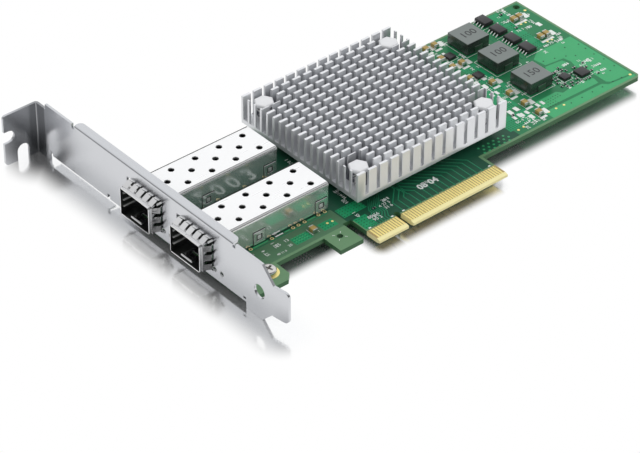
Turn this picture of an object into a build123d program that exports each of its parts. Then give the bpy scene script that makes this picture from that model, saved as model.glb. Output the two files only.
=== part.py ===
from build123d import *
import os
from math import cos, pi, sin

# Network interface card with two cages for pluggable modules.
# The origin is the middle of the edge connector's key notch, at the contact tips, on the board's top face.
# +X runs along the card away from the bracket, +Y up the card, +Z out of the component side.

# Sides of the small round holes, stems and screws, which repeat often
small_round_sides = 8

# Sides of the round ends of slots
slot_end_sides = 12

# Circuit board
board_left = -58.4
board_length = 167.3
board_top = 69.0
board_thickness = 1.57
lower_edge = 11.3
far_corner_cut = 1.2
corner_hole_inset = 2.7
corner_hole_radius = 1.2

# Edge connector
key_width = 1.9
key_depth = 7.6
contact_pitch = 1.0
contact_width = 0.7
contacts_before_key = 11
contacts_after_key = 38
contact_end_margin = 1.1
contact_low = 1.3
contact_high = 5.6
contact_plating = 0.05
first_contact_offset = 1.5
bevel_rise = 1.2
bevel_depth = 0.35

# Latch slot and hooked tab beside the edge connector
latch_slot_width = 3.2
latch_slot_top = 13.2
hook_length = 8.9
hook_low = 3.6
hook_hole_radius = 1.1
hook_hole_rise = 5.6

# Foot of the board behind the bracket
foot_length = 15.3
foot_low = 3.0
foot_corner_cut = 2.2

# Bracket
sheet = 0.86
board_gap = 0.15
plate_top = 15.6
plate_foot_drop = 2.2
bend_inside = 0.3
tab_underside = 107.17
tab_width = 18.42
tab_reach = 12.5
tab_corner_radius = 1.2
screw_slot_width = 4.4
screw_slot_depth = 5.5
screw_slot_inset = 3.5
edge_notch_width = 4.3
edge_notch_depth = 3.9
edge_notch_rise = 8.1
fold_foot_length = 6.6
plate_shoulder = 5.6
tail_start = -2.1
tail_end = -12.85
tail_low = -0.3
tail_width = 10.9
tail_corner_radius = 1.6
tail_bend_y = -7.3
tail_set_back = 0.8
tail_foot_length = 7.4
flange_depth = 2.2
flange_start = 11.2
flange_finish = 87.6
flange_corner_radius = 1.6
lug_flange_start = 6.6
lug_flange_finish = 70.2
rear_flange_start = 71.8
rear_flange_finish = 99.6
relief_width = 1.2
relief_depth = 1.5
lug_reach = 11.9
lug_width = 8.4
lug_corner_cut = 2.0
near_lug_y = 9.4
far_lug_y = 64.6
lug_hole_back = 10.9
bracket_hole_y = -0.75
bracket_hole_z = 5.0
bracket_hole_radius = 2.4

# Bracket screws
screw_shank_radius = 1.2
screw_clearance = 0.15
screw_head_radius = 2.5
screw_head_height = 1.6
screw_tip = 0.7
screw_recess_width = 0.7
screw_recess_depth = 0.8
screw_head_bevel = 0.7

# Module cages
port_pitch = 24.05
near_port_y = 28.9
cage_width = 14.0
cage_height = 9.78
cage_wall = 0.3
cage_edge_bevel = 0.5
cage_proud = 3.82
cage_length = 49.2
vent_radius = 1.1
vent_pitch_x = 9.2
vent_pitch_y = 4.08
vent_first_back = 12.6
vents_per_row = 4
vent_sides = 7
cage_leg_width = 0.9
cage_leg_tip = 0.8
cage_leg_hole_radius = 0.65
cage_leg_hole_sides = 6
cage_leg_first_back = 11.0
cage_leg_pitch = 17.6
cage_leg_back_margin = 2.0
catch_width = 4.4
catch_height = 4.2
catch_low = 0.35
catch_thickness = 0.25
catch_window = 2.2
catch_first_back = 22.4
catch_second_back = 46.4
latch_hole_length = 3.2
latch_hole_width = 4.6
latch_hole_back = 4.2

# Spring fingers round each cage
collar_thickness = 0.15
collar_front_back = 1.0
finger_width = 2.1
finger_crest = 1.2
finger_crest_back = 3.3
finger_tail_back = 5.6
finger_tail_lift = 0.45
top_fingers = 5
side_fingers = 3
opening_clearance = 0.15

# Port connectors
socket_width = 9.4
socket_height = 5.8
socket_length = 9.0
socket_back = 1.6
socket_slot_height = 1.4
socket_slot_depth = 5.5
socket_slot_rise = 3.0
socket_slot_width = 8.4
socket_window_clearance = 0.6

# Status lights
light_first_offset = 9.2
light_pitch = 3.3
light_width = 1.5
light_height = 1.8
light_length = 2.0
light_centre = 1.0
light_hole_radius = 0.8
light_gap = 0.1

# Controller
chip_size = 25.0
chip_substrate_height = 1.1
chip_lid_size = 22.0
chip_lid_height = 1.8
chip_x = 22.2
chip_y = 42.5
chip_corner_cut = 0.8
thermal_pad_size = 20.0
thermal_pad_height = 0.3

# Heat sink
sink_base = 1.6
sink_height = 10.0
fin_length = 3.15
fin_thickness = 1.0
fin_pitch_x = 4.45
fin_pitch_y = 3.0
fins_x = 14
fins_y = 19
push_pin_spacing_x = 51.3
push_pin_spacing_y = 44.4
push_pin_clearing = 4.3

# Push pins
push_pin_radius = 1.2
push_pin_clearance = 0.15
push_pin_head_width = 5.8
push_pin_head_height = 1.3
push_pin_head_drop = 1.2
push_pin_barb_radius = 1.9
push_pin_barb_height = 1.5
push_pin_barb_gap = 0.1
push_pin_barb_taper = 30
push_pin_sides = 6
spring_wire = 0.5
spring_radius = 2.1
spring_turns = 2
spring_runs_per_turn = 6
spring_end_gap = 0.1

# Inductors. What lies in the power section is placed back from the board's far edge.
coil_size = 9.6
coil_height = 4.5
coil_corner_cut = 0.5
coil_standoff = 0.2
coil_inset = 30.3
coil_rows = (60.0, 45.8, 30.4)
coil_terminal_width = 3.4
coil_terminal_rise = 2.4

# Power transistors
power_chip_inset = 17.5
power_chip_first_y = 66.2
power_chip_pitch = 6.85
power_chip_count = 4
power_chip_width = 3.9
power_chip_length = 4.9
power_chip_height = 1.45
chip_standoff = 0.15
lead_pitch = 1.27
leads_per_side = 4
lead_width = 0.42
lead_thickness = 0.2
lead_reach = 1.0
lead_foot = 0.6
lead_shoulder = 0.75

# Small integrated circuits
small_chip_size = 3.0
small_chip_height = 0.9
small_chip_insets = ((39.8, 58.4), (40.2, 44.5))
sequencer_size = 4.0
sequencer_height = 1.0
sequencer_inset = (13.6, 24.4)
monitor_size = 3.0
monitor_inset = (19.6, 26.1)

# Ceramic capacitors: length across the board, width, height and the metal cap at each end
capacitor_length = 2.6
capacitor_width = 1.8
capacitor_height = 1.3
capacitor_cap = 0.45
capacitor_insets = (
    (43.1, 59.0),
    (43.4, 53.1),
    (39.4, 53.1),
    (43.6, 44.8),
    (39.6, 38.6),
    (39.5, 30.7),
    (39.7, 23.6),
    (39.7, 17.1),
    (8.9, 61.0),
    (6.4, 61.0),
    (9.3, 47.9),
    (6.8, 47.9),
)
input_capacitor_offsets = (13.1, 16.9)
input_capacitor_y = 66.4
port_capacitor_rise = 5.0

# Small resistors and capacitors
chip_resistor_length = 1.2
chip_resistor_width = 0.7
chip_resistor_height = 0.45
chip_resistor_insets = (
    (22.9, 29.4),
    (20.5, 30.0),
    (17.7, 29.6),
    (22.9, 26.4),
    (22.3, 23.4),
    (19.9, 22.6),
    (17.3, 23.0),
    (16.7, 26.4),
    (13.5, 28.2),
    (10.3, 26.0),
    (10.3, 23.4),
    (13.7, 20.8),
    (10.0, 66.0),
    (11.5, 57.0),
    (50.3, 61.4),
    (46.7, 49.4),
    (46.5, 35.4),
    (46.9, 21.4),
)
connector_resistor_place = (-3.6, 12.9)
port_resistor_place = (-46.4, 18.4)

board_bottom = -board_thickness
board_right = board_left + board_length
plate_inner = board_left - board_gap
plate_outer = plate_inner - sheet
lug_low = board_bottom - sheet
plate_foot = lug_low - plate_foot_drop
tab_outer_face = tab_underside + sheet
tab_edge = plate_outer - tab_reach
cage_front = plate_outer - cage_proud
cage_back = cage_front + cage_length
cage_leg_run = cage_length - cage_leg_first_back - cage_leg_back_margin
cage_legs_per_side = 1 + int(cage_leg_run / cage_leg_pitch)
port_rows = (near_port_y + port_pitch, near_port_y)
lug_rows = (near_lug_y, far_lug_y)
lug_hole_x = plate_inner + lug_hole_back
connector_left = -(first_contact_offset + (contacts_before_key - 1) * contact_pitch + contact_end_margin)
connector_right = first_contact_offset + (contacts_after_key - 1) * contact_pitch + contact_end_margin
chip_top = chip_substrate_height + chip_lid_height
sink_low = chip_top + thermal_pad_height
sink_base_top = sink_low + sink_base
sink_top = sink_low + sink_height
sink_length = (fins_x - 1) * fin_pitch_x + fin_length
sink_width = (fins_y - 1) * fin_pitch_y + fin_thickness
push_pin_places = [
    (chip_x + side_x * push_pin_spacing_x / 2, chip_y + side_y * push_pin_spacing_y / 2)
    for side_x in (-1, 1)
    for side_y in (-1, 1)
]
push_pin_hole_radius = push_pin_radius + push_pin_clearance
push_pin_head_low = sink_top - push_pin_head_drop - push_pin_head_height
screw_hole_radius = screw_shank_radius + screw_clearance


def from_far_edge(insets):
    return [(board_right - inset, y) for inset, y in insets]


def save(part, name):
    part.label = name
    export_step(part, f"parts/{name}.step")


def span(low, high):
    return high - low, (low + high) / 2


os.makedirs("parts", exist_ok=True)


# Circuit board: one routed outline, with its slots, holes and the bevelled contact edge
latch_slot_left = connector_left - latch_slot_width
hook_left = latch_slot_left - hook_length
foot_right = board_left + foot_length
hook_hole = (latch_slot_left - hook_length / 2, hook_low + hook_hole_rise)
corner_hole = (board_right - corner_hole_inset, board_top - corner_hole_inset)


def leg_places(row):
    return [
        (cage_front + cage_leg_first_back + step * cage_leg_pitch, row + side * (cage_width - cage_wall) / 2)
        for side in (-1, 1)
        for step in range(cage_legs_per_side)
    ]


with BuildPart() as circuit_board:
    with BuildSketch(Plane.XY.offset(board_bottom)):
        with BuildLine():
            Polyline(
                (board_left, board_top),
                (board_right, board_top),
                (board_right, lower_edge + far_corner_cut),
                (board_right - far_corner_cut, lower_edge),
                (connector_right, lower_edge),
                (connector_right, 0),
                (connector_left, 0),
                (connector_left, lower_edge),
                (latch_slot_left, lower_edge),
                (latch_slot_left, hook_low),
                (hook_left, hook_low),
                (hook_left, lower_edge),
                (foot_right, lower_edge),
                (foot_right, foot_low + foot_corner_cut),
                (foot_right - foot_corner_cut, foot_low),
                (board_left, foot_low),
                close=True,
            )
        make_face()
        slot_length = latch_slot_top - hook_low
        with Locations((latch_slot_left + latch_slot_width / 2, latch_slot_top - slot_length / 2)):
            Rectangle(latch_slot_width, slot_length, mode=Mode.SUBTRACT)
        key_radius = key_width / 2
        with Locations((0, (key_depth - key_radius) / 2)):
            Rectangle(key_width, key_depth - key_radius, mode=Mode.SUBTRACT)
        with Locations((0, key_depth - key_radius)):
            RegularPolygon(key_radius, slot_end_sides, mode=Mode.SUBTRACT)
        with Locations(*push_pin_places):
            RegularPolygon(push_pin_hole_radius, push_pin_sides, mode=Mode.SUBTRACT)
        with Locations(*[(lug_hole_x, row) for row in lug_rows]):
            RegularPolygon(screw_hole_radius, small_round_sides, mode=Mode.SUBTRACT)
        for row in port_rows:
            with Locations(*leg_places(row)):
                RegularPolygon(cage_leg_hole_radius, cage_leg_hole_sides, mode=Mode.SUBTRACT)
        with Locations(hook_hole):
            RegularPolygon(hook_hole_radius, small_round_sides, mode=Mode.SUBTRACT)
        with Locations(corner_hole):
            Circle(corner_hole_radius, mode=Mode.SUBTRACT)
    extrude(amount=board_thickness)
    with BuildSketch(Plane.YZ.offset(connector_left)):
        with BuildLine():
            Polyline((0, 0), (bevel_rise, 0), (0, -bevel_depth), close=True)
        make_face()
        with BuildLine():
            Polyline(
                (0, board_bottom), (bevel_rise, board_bottom), (0, board_bottom + bevel_depth), close=True
            )
        make_face()
    extrude(amount=connector_right - connector_left, mode=Mode.SUBTRACT)
save(circuit_board.part, "circuit_board")

# Gold contacts on the component side of the board's edge
contact_length, contact_middle = span(contact_low, contact_high)
contact_places = [
    (-first_contact_offset - step * contact_pitch, contact_middle) for step in range(contacts_before_key)
] + [(first_contact_offset + step * contact_pitch, contact_middle) for step in range(contacts_after_key)]
with BuildPart() as edge_contacts:
    with BuildSketch(Plane.XY):
        with Locations(*contact_places):
            Rectangle(contact_width, contact_length)
    extrude(amount=contact_plating)
save(edge_contacts.part, "edge_contacts")

# Bracket: one folded sheet, with the tab at its top, flanges along both sides and lugs under the board
collar_reach = finger_crest + collar_thickness + opening_clearance
port_opening_width = cage_width + 2 * collar_reach
port_opening_low = -0.2
port_opening_high = cage_height + collar_reach
light_places = [
    (row - light_first_offset - step * light_pitch, light_centre) for row in port_rows for step in range(2)
]
with BuildPart() as bracket:
    with BuildSketch(Plane.YZ.offset(plate_outer)):
        plate_height, plate_middle = span(lug_low, plate_top)
        plate_run, plate_run_middle = span(tail_start, tab_outer_face - plate_shoulder)
        with Locations((plate_run_middle, plate_middle)):
            Rectangle(plate_run, plate_height)
        fold_run, fold_middle = span(tab_outer_face - fold_foot_length, tab_outer_face)
        with Locations((fold_middle, plate_foot + tab_width / 2)):
            Rectangle(fold_run, tab_width)
        foot_height, foot_middle = span(plate_foot, plate_middle)
        with Locations((tail_start + tail_foot_length / 2, foot_middle)):
            Rectangle(tail_foot_length, foot_height)
        tail_high = tail_low + tail_width
        with BuildLine():
            Polyline(
                (tail_start, plate_top),
                (tail_start - (plate_top - tail_high), tail_high),
                (tail_bend_y, tail_high),
                (tail_bend_y, tail_low),
                (tail_start - (tail_low - plate_foot), tail_low),
                (tail_start, plate_foot),
                close=True,
            )
        make_face()
        with Locations(*[(row, (port_opening_low + port_opening_high) / 2) for row in port_rows]):
            Rectangle(port_opening_width, port_opening_high - port_opening_low, mode=Mode.SUBTRACT)
        with Locations(*light_places):
            RegularPolygon(light_hole_radius, small_round_sides, mode=Mode.SUBTRACT)
        with Locations((bracket_hole_y, bracket_hole_z)):
            Circle(bracket_hole_radius, mode=Mode.SUBTRACT)
        upper_reliefs = (flange_start - relief_width / 2, flange_finish + relief_width / 2)
        with Locations(*[(place, plate_top - relief_depth / 2) for place in upper_reliefs]):
            Rectangle(relief_width, relief_depth, mode=Mode.SUBTRACT)
        lower_reliefs = (
            lug_flange_start - relief_width / 2,
            (lug_flange_finish + rear_flange_start) / 2,
            rear_flange_finish + relief_width / 2,
        )
        with Locations(*[(place, lug_low + relief_depth / 2) for place in lower_reliefs]):
            Rectangle(relief_width, relief_depth, mode=Mode.SUBTRACT)
    extrude(amount=sheet)
    with BuildSketch(Plane.XY.offset(tail_low)):
        with BuildLine():
            Polyline(
                (plate_outer, tail_bend_y),
                (plate_inner, tail_bend_y),
                (plate_inner + tail_set_back, tail_end),
                (plate_outer + tail_set_back, tail_end),
                close=True,
            )
        make_face()
    extrude(amount=tail_width)
    fillet(
        bracket.edges().filter_by(GeomType.LINE).group_by(Axis.Y)[0].filter_by(Axis.X),
        tail_corner_radius,
    )
    with BuildSketch(Plane.XZ.offset(-tab_underside)):
        tab_run, tab_middle = span(tab_edge, plate_inner)
        with Locations((tab_middle, plate_foot + tab_width / 2)):
            Rectangle(tab_run, tab_width)
        slot_middle = plate_outer - screw_slot_inset - screw_slot_width / 2
        slot_radius = screw_slot_width / 2
        with Locations((slot_middle, plate_foot + (screw_slot_depth - slot_radius) / 2)):
            Rectangle(screw_slot_width, screw_slot_depth - slot_radius, mode=Mode.SUBTRACT)
        with Locations((slot_middle, plate_foot + screw_slot_depth - slot_radius)):
            RegularPolygon(slot_radius, slot_end_sides, mode=Mode.SUBTRACT)
        notch_radius = edge_notch_width / 2
        notch_middle = plate_foot + edge_notch_rise + notch_radius
        with Locations((tab_edge + (edge_notch_depth - notch_radius) / 2, notch_middle)):
            Rectangle(edge_notch_depth - notch_radius, edge_notch_width, mode=Mode.SUBTRACT)
        with Locations((tab_edge + edge_notch_depth - notch_radius, notch_middle)):
            RegularPolygon(notch_radius, slot_end_sides, mode=Mode.SUBTRACT)
    extrude(amount=-sheet)
    outer_corners = bracket.edges().filter_by(Axis.Y).group_by(Axis.X)[0].sort_by(Axis.Z)
    fillet([outer_corners[0], outer_corners[-1]], tab_corner_radius)
    with BuildSketch(Plane.XY.offset(plate_top - sheet)):
        flange_run, flange_middle = span(flange_start, flange_finish)
        with Locations((plate_outer + (sheet + flange_depth) / 2, flange_middle)):
            Rectangle(sheet + flange_depth, flange_run)
        flange_corners = [
            vertex for vertex in vertices() if vertex.X > plate_inner
        ]
        fillet(flange_corners, flange_corner_radius)
    extrude(amount=sheet)
    with BuildSketch(Plane.XY.offset(lug_low)):
        for low, high in ((lug_flange_start, lug_flange_finish), (rear_flange_start, rear_flange_finish)):
            lower_run, lower_middle = span(low, high)
            with Locations((plate_outer + (sheet + flange_depth) / 2, lower_middle)):
                Rectangle(sheet + flange_depth, lower_run)
        for row in lug_rows:
            with Locations((plate_outer + (sheet + lug_reach + lug_width / 2) / 2, row)):
                Rectangle(sheet + lug_reach + lug_width / 2, lug_width)
        lug_ends = [vertex for vertex in vertices() if vertex.X > plate_inner + lug_reach]
        chamfer(lug_ends, lug_corner_cut)
        with Locations(*[(lug_hole_x, row) for row in lug_rows]):
            RegularPolygon(screw_hole_radius, small_round_sides, mode=Mode.SUBTRACT)
    extrude(amount=sheet)
    bend_outside = bend_inside + sheet
    fold_edge = bracket.edges().filter_by(Axis.Z).filter_by_position(
        Axis.Y, tab_outer_face - board_gap, tab_outer_face + board_gap
    )
    fillet(fold_edge.sort_by(Axis.X)[-1], bend_outside)
save(bracket.part, "bracket")

# Pan-head screws that hold the board to the bracket's lugs
with BuildPart() as bracket_screws:
    with BuildSketch(Plane.XY):
        with Locations(*[(lug_hole_x, row) for row in lug_rows]):
            RegularPolygon(screw_head_radius, small_round_sides)
    extrude(amount=screw_head_height)
    chamfer(bracket_screws.edges().group_by(Axis.Z)[-1], screw_head_bevel)
    with BuildSketch(Plane.XY.offset(screw_head_height - screw_recess_depth)):
        with Locations(*[(lug_hole_x, row) for row in lug_rows]):
            Rectangle(screw_head_radius, screw_recess_width)
            Rectangle(screw_recess_width, screw_head_radius)
    extrude(amount=screw_recess_depth, mode=Mode.SUBTRACT)
    with BuildSketch(Plane.XY):
        with Locations(*[(lug_hole_x, row) for row in lug_rows]):
            RegularPolygon(screw_shank_radius, small_round_sides)
    extrude(amount=lug_low - screw_tip)
save(bracket_screws.part, "bracket_screws")


# Module cage: a folded tube of perforated sheet, with side catches and legs pressed into the board
def make_cage(row, name):
    socket_front = cage_back - socket_back - socket_length
    socket_window_start = socket_front - socket_window_clearance
    with BuildPart() as cage:
        with BuildSketch(Plane.YZ.offset(cage_front)):
            with Locations((row, cage_height / 2)):
                Rectangle(cage_width, cage_height)
            chamfer(vertices(), cage_edge_bevel)
        extrude(amount=cage_length)
        with BuildSketch(Plane.YZ.offset(cage_front)):
            with Locations((row, cage_height / 2)):
                Rectangle(cage_width - 2 * cage_wall, cage_height - 2 * cage_wall)
        extrude(amount=cage_length - cage_wall, mode=Mode.SUBTRACT)
        for side in (-1, 1):
            for back in (catch_first_back, catch_second_back):
                with BuildSketch(Plane.XZ.offset(-(row + side * cage_width / 2))):
                    with Locations((cage_front + back, catch_low + catch_height / 2)):
                        Rectangle(catch_width, catch_height)
                        Rectangle(catch_window, catch_window, mode=Mode.SUBTRACT)
                extrude(amount=-side * catch_thickness)
        with BuildSketch(Plane.XY):
            floor_window_length, floor_window_middle = span(socket_window_start, cage_back - cage_wall)
            with Locations((floor_window_middle, row)):
                Rectangle(floor_window_length, cage_width - 2 * cage_edge_bevel)
            with Locations((cage_front + latch_hole_back + latch_hole_length / 2, row)):
                Rectangle(latch_hole_length, latch_hole_width)
        extrude(amount=cage_wall, mode=Mode.SUBTRACT)
        with BuildSketch(Plane.XY.offset(cage_height)):
            for line in (-1, 0, 1):
                shift = 0 if line == 0 else vent_pitch_x / 2
                places = [
                    (cage_front + vent_first_back + shift + step * vent_pitch_x, row + line * vent_pitch_y)
                    for step in range(vents_per_row)
                ]
                with Locations(*places):
                    RegularPolygon(vent_radius, vent_sides)
        extrude(amount=-cage_wall, mode=Mode.SUBTRACT)
        with BuildSketch(Plane.XY.offset(cage_edge_bevel)):
            with Locations(*leg_places(row)):
                Rectangle(cage_leg_width, cage_wall)
        extrude(amount=board_bottom - cage_leg_tip - cage_edge_bevel)
    save(cage.part, name)


# Spring-finger collar: a thin band on the cage's mouth with fingers that bear on the bracket's opening
def make_collar(row, name):
    front = cage_front + collar_front_back
    crest = cage_front + finger_crest_back
    tail = cage_front + finger_tail_back
    low_lift = collar_thickness
    top_pitch = (cage_width - finger_width) / (top_fingers - 1)
    side_span = cage_height - 2 * cage_edge_bevel
    side_pitch = (side_span - finger_width) / (side_fingers - 1)
    finger_profile = (
        (front, 0),
        (crest, finger_crest + low_lift),
        (tail, finger_tail_lift + low_lift),
        (tail, finger_tail_lift),
        (crest, finger_crest),
    )
    with BuildPart() as collar:
        with BuildSketch(Plane.YZ.offset(front)):
            with Locations((row, cage_height / 2)):
                Rectangle(cage_width + 2 * collar_thickness, cage_height + 2 * collar_thickness)
                Rectangle(cage_width, cage_height, mode=Mode.SUBTRACT)
            with Locations((row, -cage_edge_bevel / 2)):
                Rectangle(cage_width + 2 * collar_reach, cage_edge_bevel, mode=Mode.SUBTRACT)
        extrude(amount=finger_crest_back - collar_front_back - 2 * low_lift)
        for step in range(top_fingers):
            across = row - cage_width / 2 + step * top_pitch
            with BuildSketch(Plane.XZ.offset(-across)):
                with BuildLine():
                    Polyline(*[(x, cage_height + lift) for x, lift in finger_profile], close=True)
                make_face()
            extrude(amount=-finger_width)
        for step in range(side_fingers):
            rise = cage_edge_bevel + step * side_pitch
            for side in (-1, 1):
                wall = row + side * cage_width / 2
                with BuildSketch(Plane.XY.offset(rise)):
                    with BuildLine():
                        Polyline(*[(x, wall + side * lift) for x, lift in finger_profile], close=True)
                    make_face()
                extrude(amount=finger_width)
    save(collar.part, name)


# Port connector: a moulded socket with a card slot
def make_socket(row, name):
    front = cage_back - socket_back - socket_length
    with BuildPart() as socket:
        with BuildSketch(Plane.YZ.offset(front)):
            with Locations((row, socket_height / 2)):
                Rectangle(socket_width, socket_height)
        extrude(amount=socket_length)
        top_edges = socket.edges().filter_by(Axis.X).group_by(Axis.Z)[-1]
        chamfer(top_edges, cage_edge_bevel)
        with BuildSketch(Plane.YZ.offset(front)):
            with Locations((row, socket_slot_rise + socket_slot_height / 2)):
                Rectangle(socket_slot_width, socket_slot_height)
        extrude(amount=socket_slot_depth, mode=Mode.SUBTRACT)
    save(socket.part, name)


for index, row in enumerate(port_rows, start=1):
    make_cage(row, f"module_cage_{index}")
    make_collar(row, f"spring_collar_{index}")
    make_socket(row, f"port_socket_{index}")

# Status lights behind the bracket's small holes
with BuildPart() as status_lights:
    with BuildSketch(Plane.XY):
        for row, _ in light_places:
            with Locations((plate_inner + board_gap + light_gap + light_length / 2, row)):
                Rectangle(light_length, light_width)
    extrude(amount=light_height)
    chamfer(status_lights.edges().filter_by(Axis.Y).group_by(Axis.Z)[-1], light_gap * 3)
save(status_lights.part, "status_lights")

# Controller: substrate, metal lid and the pad that carries its heat into the heat sink
with BuildPart() as controller_substrate:
    with BuildSketch(Plane.XY):
        with Locations((chip_x, chip_y)):
            Rectangle(chip_size, chip_size)
        chamfer(vertices(), chip_corner_cut)
    extrude(amount=chip_substrate_height)
save(controller_substrate.part, "controller_substrate")

with BuildPart() as controller_lid:
    with BuildSketch(Plane.XY.offset(chip_substrate_height)):
        with Locations((chip_x, chip_y)):
            Rectangle(chip_lid_size, chip_lid_size)
        chamfer(vertices(), chip_corner_cut)
    extrude(amount=chip_lid_height)
save(controller_lid.part, "controller_lid")

with BuildPart() as thermal_pad:
    with BuildSketch(Plane.XY.offset(chip_top)):
        with Locations((chip_x, chip_y)):
            Rectangle(thermal_pad_size, thermal_pad_size)
    extrude(amount=thermal_pad_height)
save(thermal_pad.part, "thermal_pad")

# Heat sink: straight fins along the card, cross-cut into pins and cleared round the push pins
with BuildPart() as heat_sink:
    with BuildSketch(Plane.XY.offset(sink_low)):
        with Locations((chip_x, chip_y)):
            Rectangle(sink_length, sink_width)
    extrude(amount=sink_height)
    with BuildSketch(Plane.XY.offset(sink_base_top)):
        with Locations((chip_x, chip_y)):
            with GridLocations(0, fin_pitch_y, 1, fins_y - 1):
                Rectangle(sink_length, fin_pitch_y - fin_thickness)
            with GridLocations(fin_pitch_x, 0, fins_x - 1, 1):
                Rectangle(fin_pitch_x - fin_length, sink_width)
        with Locations(*push_pin_places):
            Rectangle(2 * push_pin_clearing, 2 * push_pin_clearing)
    extrude(amount=sink_height, mode=Mode.SUBTRACT)
    with BuildSketch(Plane.XY.offset(sink_low)):
        with Locations(*push_pin_places):
            RegularPolygon(push_pin_hole_radius, push_pin_sides)
    extrude(amount=sink_base, mode=Mode.SUBTRACT)
save(heat_sink.part, "heat_sink")

# Push pins: six-sided head, plain stem through the heat sink and board, and a barb underneath
with BuildPart() as push_pins:
    with BuildSketch(Plane.XY.offset(push_pin_head_low)):
        with Locations(*push_pin_places):
            RegularPolygon(push_pin_head_width / 2, 6, major_radius=False)
    extrude(amount=push_pin_head_height)
    chamfer(push_pins.edges().group_by(Axis.Z)[-1], push_pin_head_height / 4)
    barb_top = board_bottom - push_pin_barb_gap
    with BuildSketch(Plane.XY.offset(barb_top)):
        with Locations(*push_pin_places):
            RegularPolygon(push_pin_radius, push_pin_sides)
    extrude(amount=push_pin_head_low - barb_top)
    with BuildSketch(Plane.XY.offset(barb_top)):
        with Locations(*push_pin_places):
            RegularPolygon(push_pin_barb_radius, push_pin_sides)
    extrude(amount=-push_pin_barb_height, taper=push_pin_barb_taper)
save(push_pins.part, "push_pins")

# Coil springs that hold the heat sink down under the push pins' heads
spring_low = sink_base_top + spring_wire / 2 + spring_end_gap
spring_high = push_pin_head_low - spring_wire / 2 - spring_end_gap
spring_runs = round(spring_turns * spring_runs_per_turn)
spring_rise = (spring_high - spring_low) / spring_runs
spring_points = [
    (
        spring_radius * cos(2 * pi * run / spring_runs_per_turn),
        spring_radius * sin(2 * pi * run / spring_runs_per_turn),
        run * spring_rise,
    )
    for run in range(spring_runs + 1)
]
with BuildPart() as spring_coil:
    with BuildLine() as spring_path:
        Polyline(*spring_points)
    with BuildSketch(Plane(origin=spring_path.line @ 0, z_dir=spring_path.line % 0)):
        Rectangle(spring_wire, spring_wire)
    sweep(transition=Transition.RIGHT)
with BuildPart() as push_pin_springs:
    with Locations(*[(x, y, spring_low) for x, y in push_pin_places]):
        add(spring_coil.part)
save(push_pin_springs.part, "push_pin_springs")

# Shielded power inductors, each on two folded terminals
coil_x = board_right - coil_inset
for index, row in enumerate(coil_rows, start=1):
    with BuildPart() as inductor:
        with BuildSketch(Plane.XY.offset(coil_standoff)):
            with Locations((coil_x, row)):
                Rectangle(coil_size, coil_size)
            chamfer(vertices(), coil_corner_cut)
        extrude(amount=coil_height - coil_standoff)
    save(inductor.part, f"power_inductor_{index}")

with BuildPart() as inductor_terminals:
    for row in coil_rows:
        for side in (-1, 1):
            outer = row + side * coil_size / 2
            with BuildSketch(Plane.YZ.offset(coil_x - coil_terminal_width / 2)):
                with BuildLine():
                    Polyline(
                        (outer - side * coil_terminal_rise, 0),
                        (outer + side * coil_standoff, 0),
                        (outer + side * coil_standoff, coil_terminal_rise),
                        (outer, coil_terminal_rise),
                        (outer, coil_standoff),
                        (outer - side * coil_terminal_rise, coil_standoff),
                        close=True,
                    )
                make_face()
            extrude(amount=coil_terminal_width)
save(inductor_terminals.part, "inductor_terminals")

# Power transistors in eight-lead packages
power_chip_x = board_right - power_chip_inset
power_chip_rows = [power_chip_first_y - step * power_chip_pitch for step in range(power_chip_count)]
for index, row in enumerate(power_chip_rows, start=1):
    with BuildPart() as power_chip:
        with BuildSketch(Plane.XY.offset(chip_standoff)):
            with Locations((power_chip_x, row)):
                Rectangle(power_chip_width, power_chip_length)
        extrude(amount=power_chip_height)
        chamfer(power_chip.edges().filter_by(Axis.Y).group_by(Axis.Z)[-1], chip_standoff * 2)
    save(power_chip.part, f"power_chip_{index}")

with BuildPart() as power_chip_leads:
    for row in power_chip_rows:
        for side in (-1, 1):
            root = power_chip_x + side * power_chip_width / 2
            knee = root + side * (lead_reach - lead_foot)
            tip = root + side * lead_reach
            for step in range(leads_per_side):
                across = row + (step - (leads_per_side - 1) / 2) * lead_pitch + lead_width / 2
                with BuildSketch(Plane.XZ.offset(-across)):
                    with BuildLine():
                        Polyline(
                            (root, lead_shoulder),
                            (root, lead_shoulder - lead_thickness),
                            (knee, 0),
                            (tip, 0),
                            close=True,
                        )
                    make_face()
                extrude(amount=lead_width)
save(power_chip_leads.part, "power_chip_leads")

# Small integrated circuits that lie flat on the board
for index, place in enumerate(from_far_edge(small_chip_insets), start=1):
    with BuildPart() as small_chip:
        with BuildSketch(Plane.XY):
            with Locations(place):
                Rectangle(small_chip_size, small_chip_size)
        extrude(amount=small_chip_height)
    save(small_chip.part, f"regulator_chip_{index}")

with BuildPart() as sequencer_chip:
    with BuildSketch(Plane.XY):
        with Locations(*from_far_edge([sequencer_inset])):
            Rectangle(sequencer_size, sequencer_size)
    extrude(amount=sequencer_height)
save(sequencer_chip.part, "sequencer_chip")

with BuildPart() as monitor_chip:
    with BuildSketch(Plane.XY):
        with Locations(*from_far_edge([monitor_inset])):
            Rectangle(monitor_size, monitor_size)
    extrude(amount=small_chip_height)
save(monitor_chip.part, "monitor_chip")

# Ceramic capacitors: the tan bodies and the metal caps at their ends
capacitor_body_length = capacitor_length - 2 * capacitor_cap
sink_right = chip_x + sink_length / 2
input_capacitor_places = [(sink_right + offset, input_capacitor_y) for offset in input_capacitor_offsets]
port_capacitor_place = (hook_left, lower_edge + port_capacitor_rise)
capacitor_places = [*from_far_edge(capacitor_insets), *input_capacitor_places, port_capacitor_place]
with BuildPart() as capacitors:
    with BuildSketch(Plane.XY):
        with Locations(*capacitor_places):
            Rectangle(capacitor_width, capacitor_body_length)
    extrude(amount=capacitor_height)
save(capacitors.part, "ceramic_capacitors")

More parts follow.
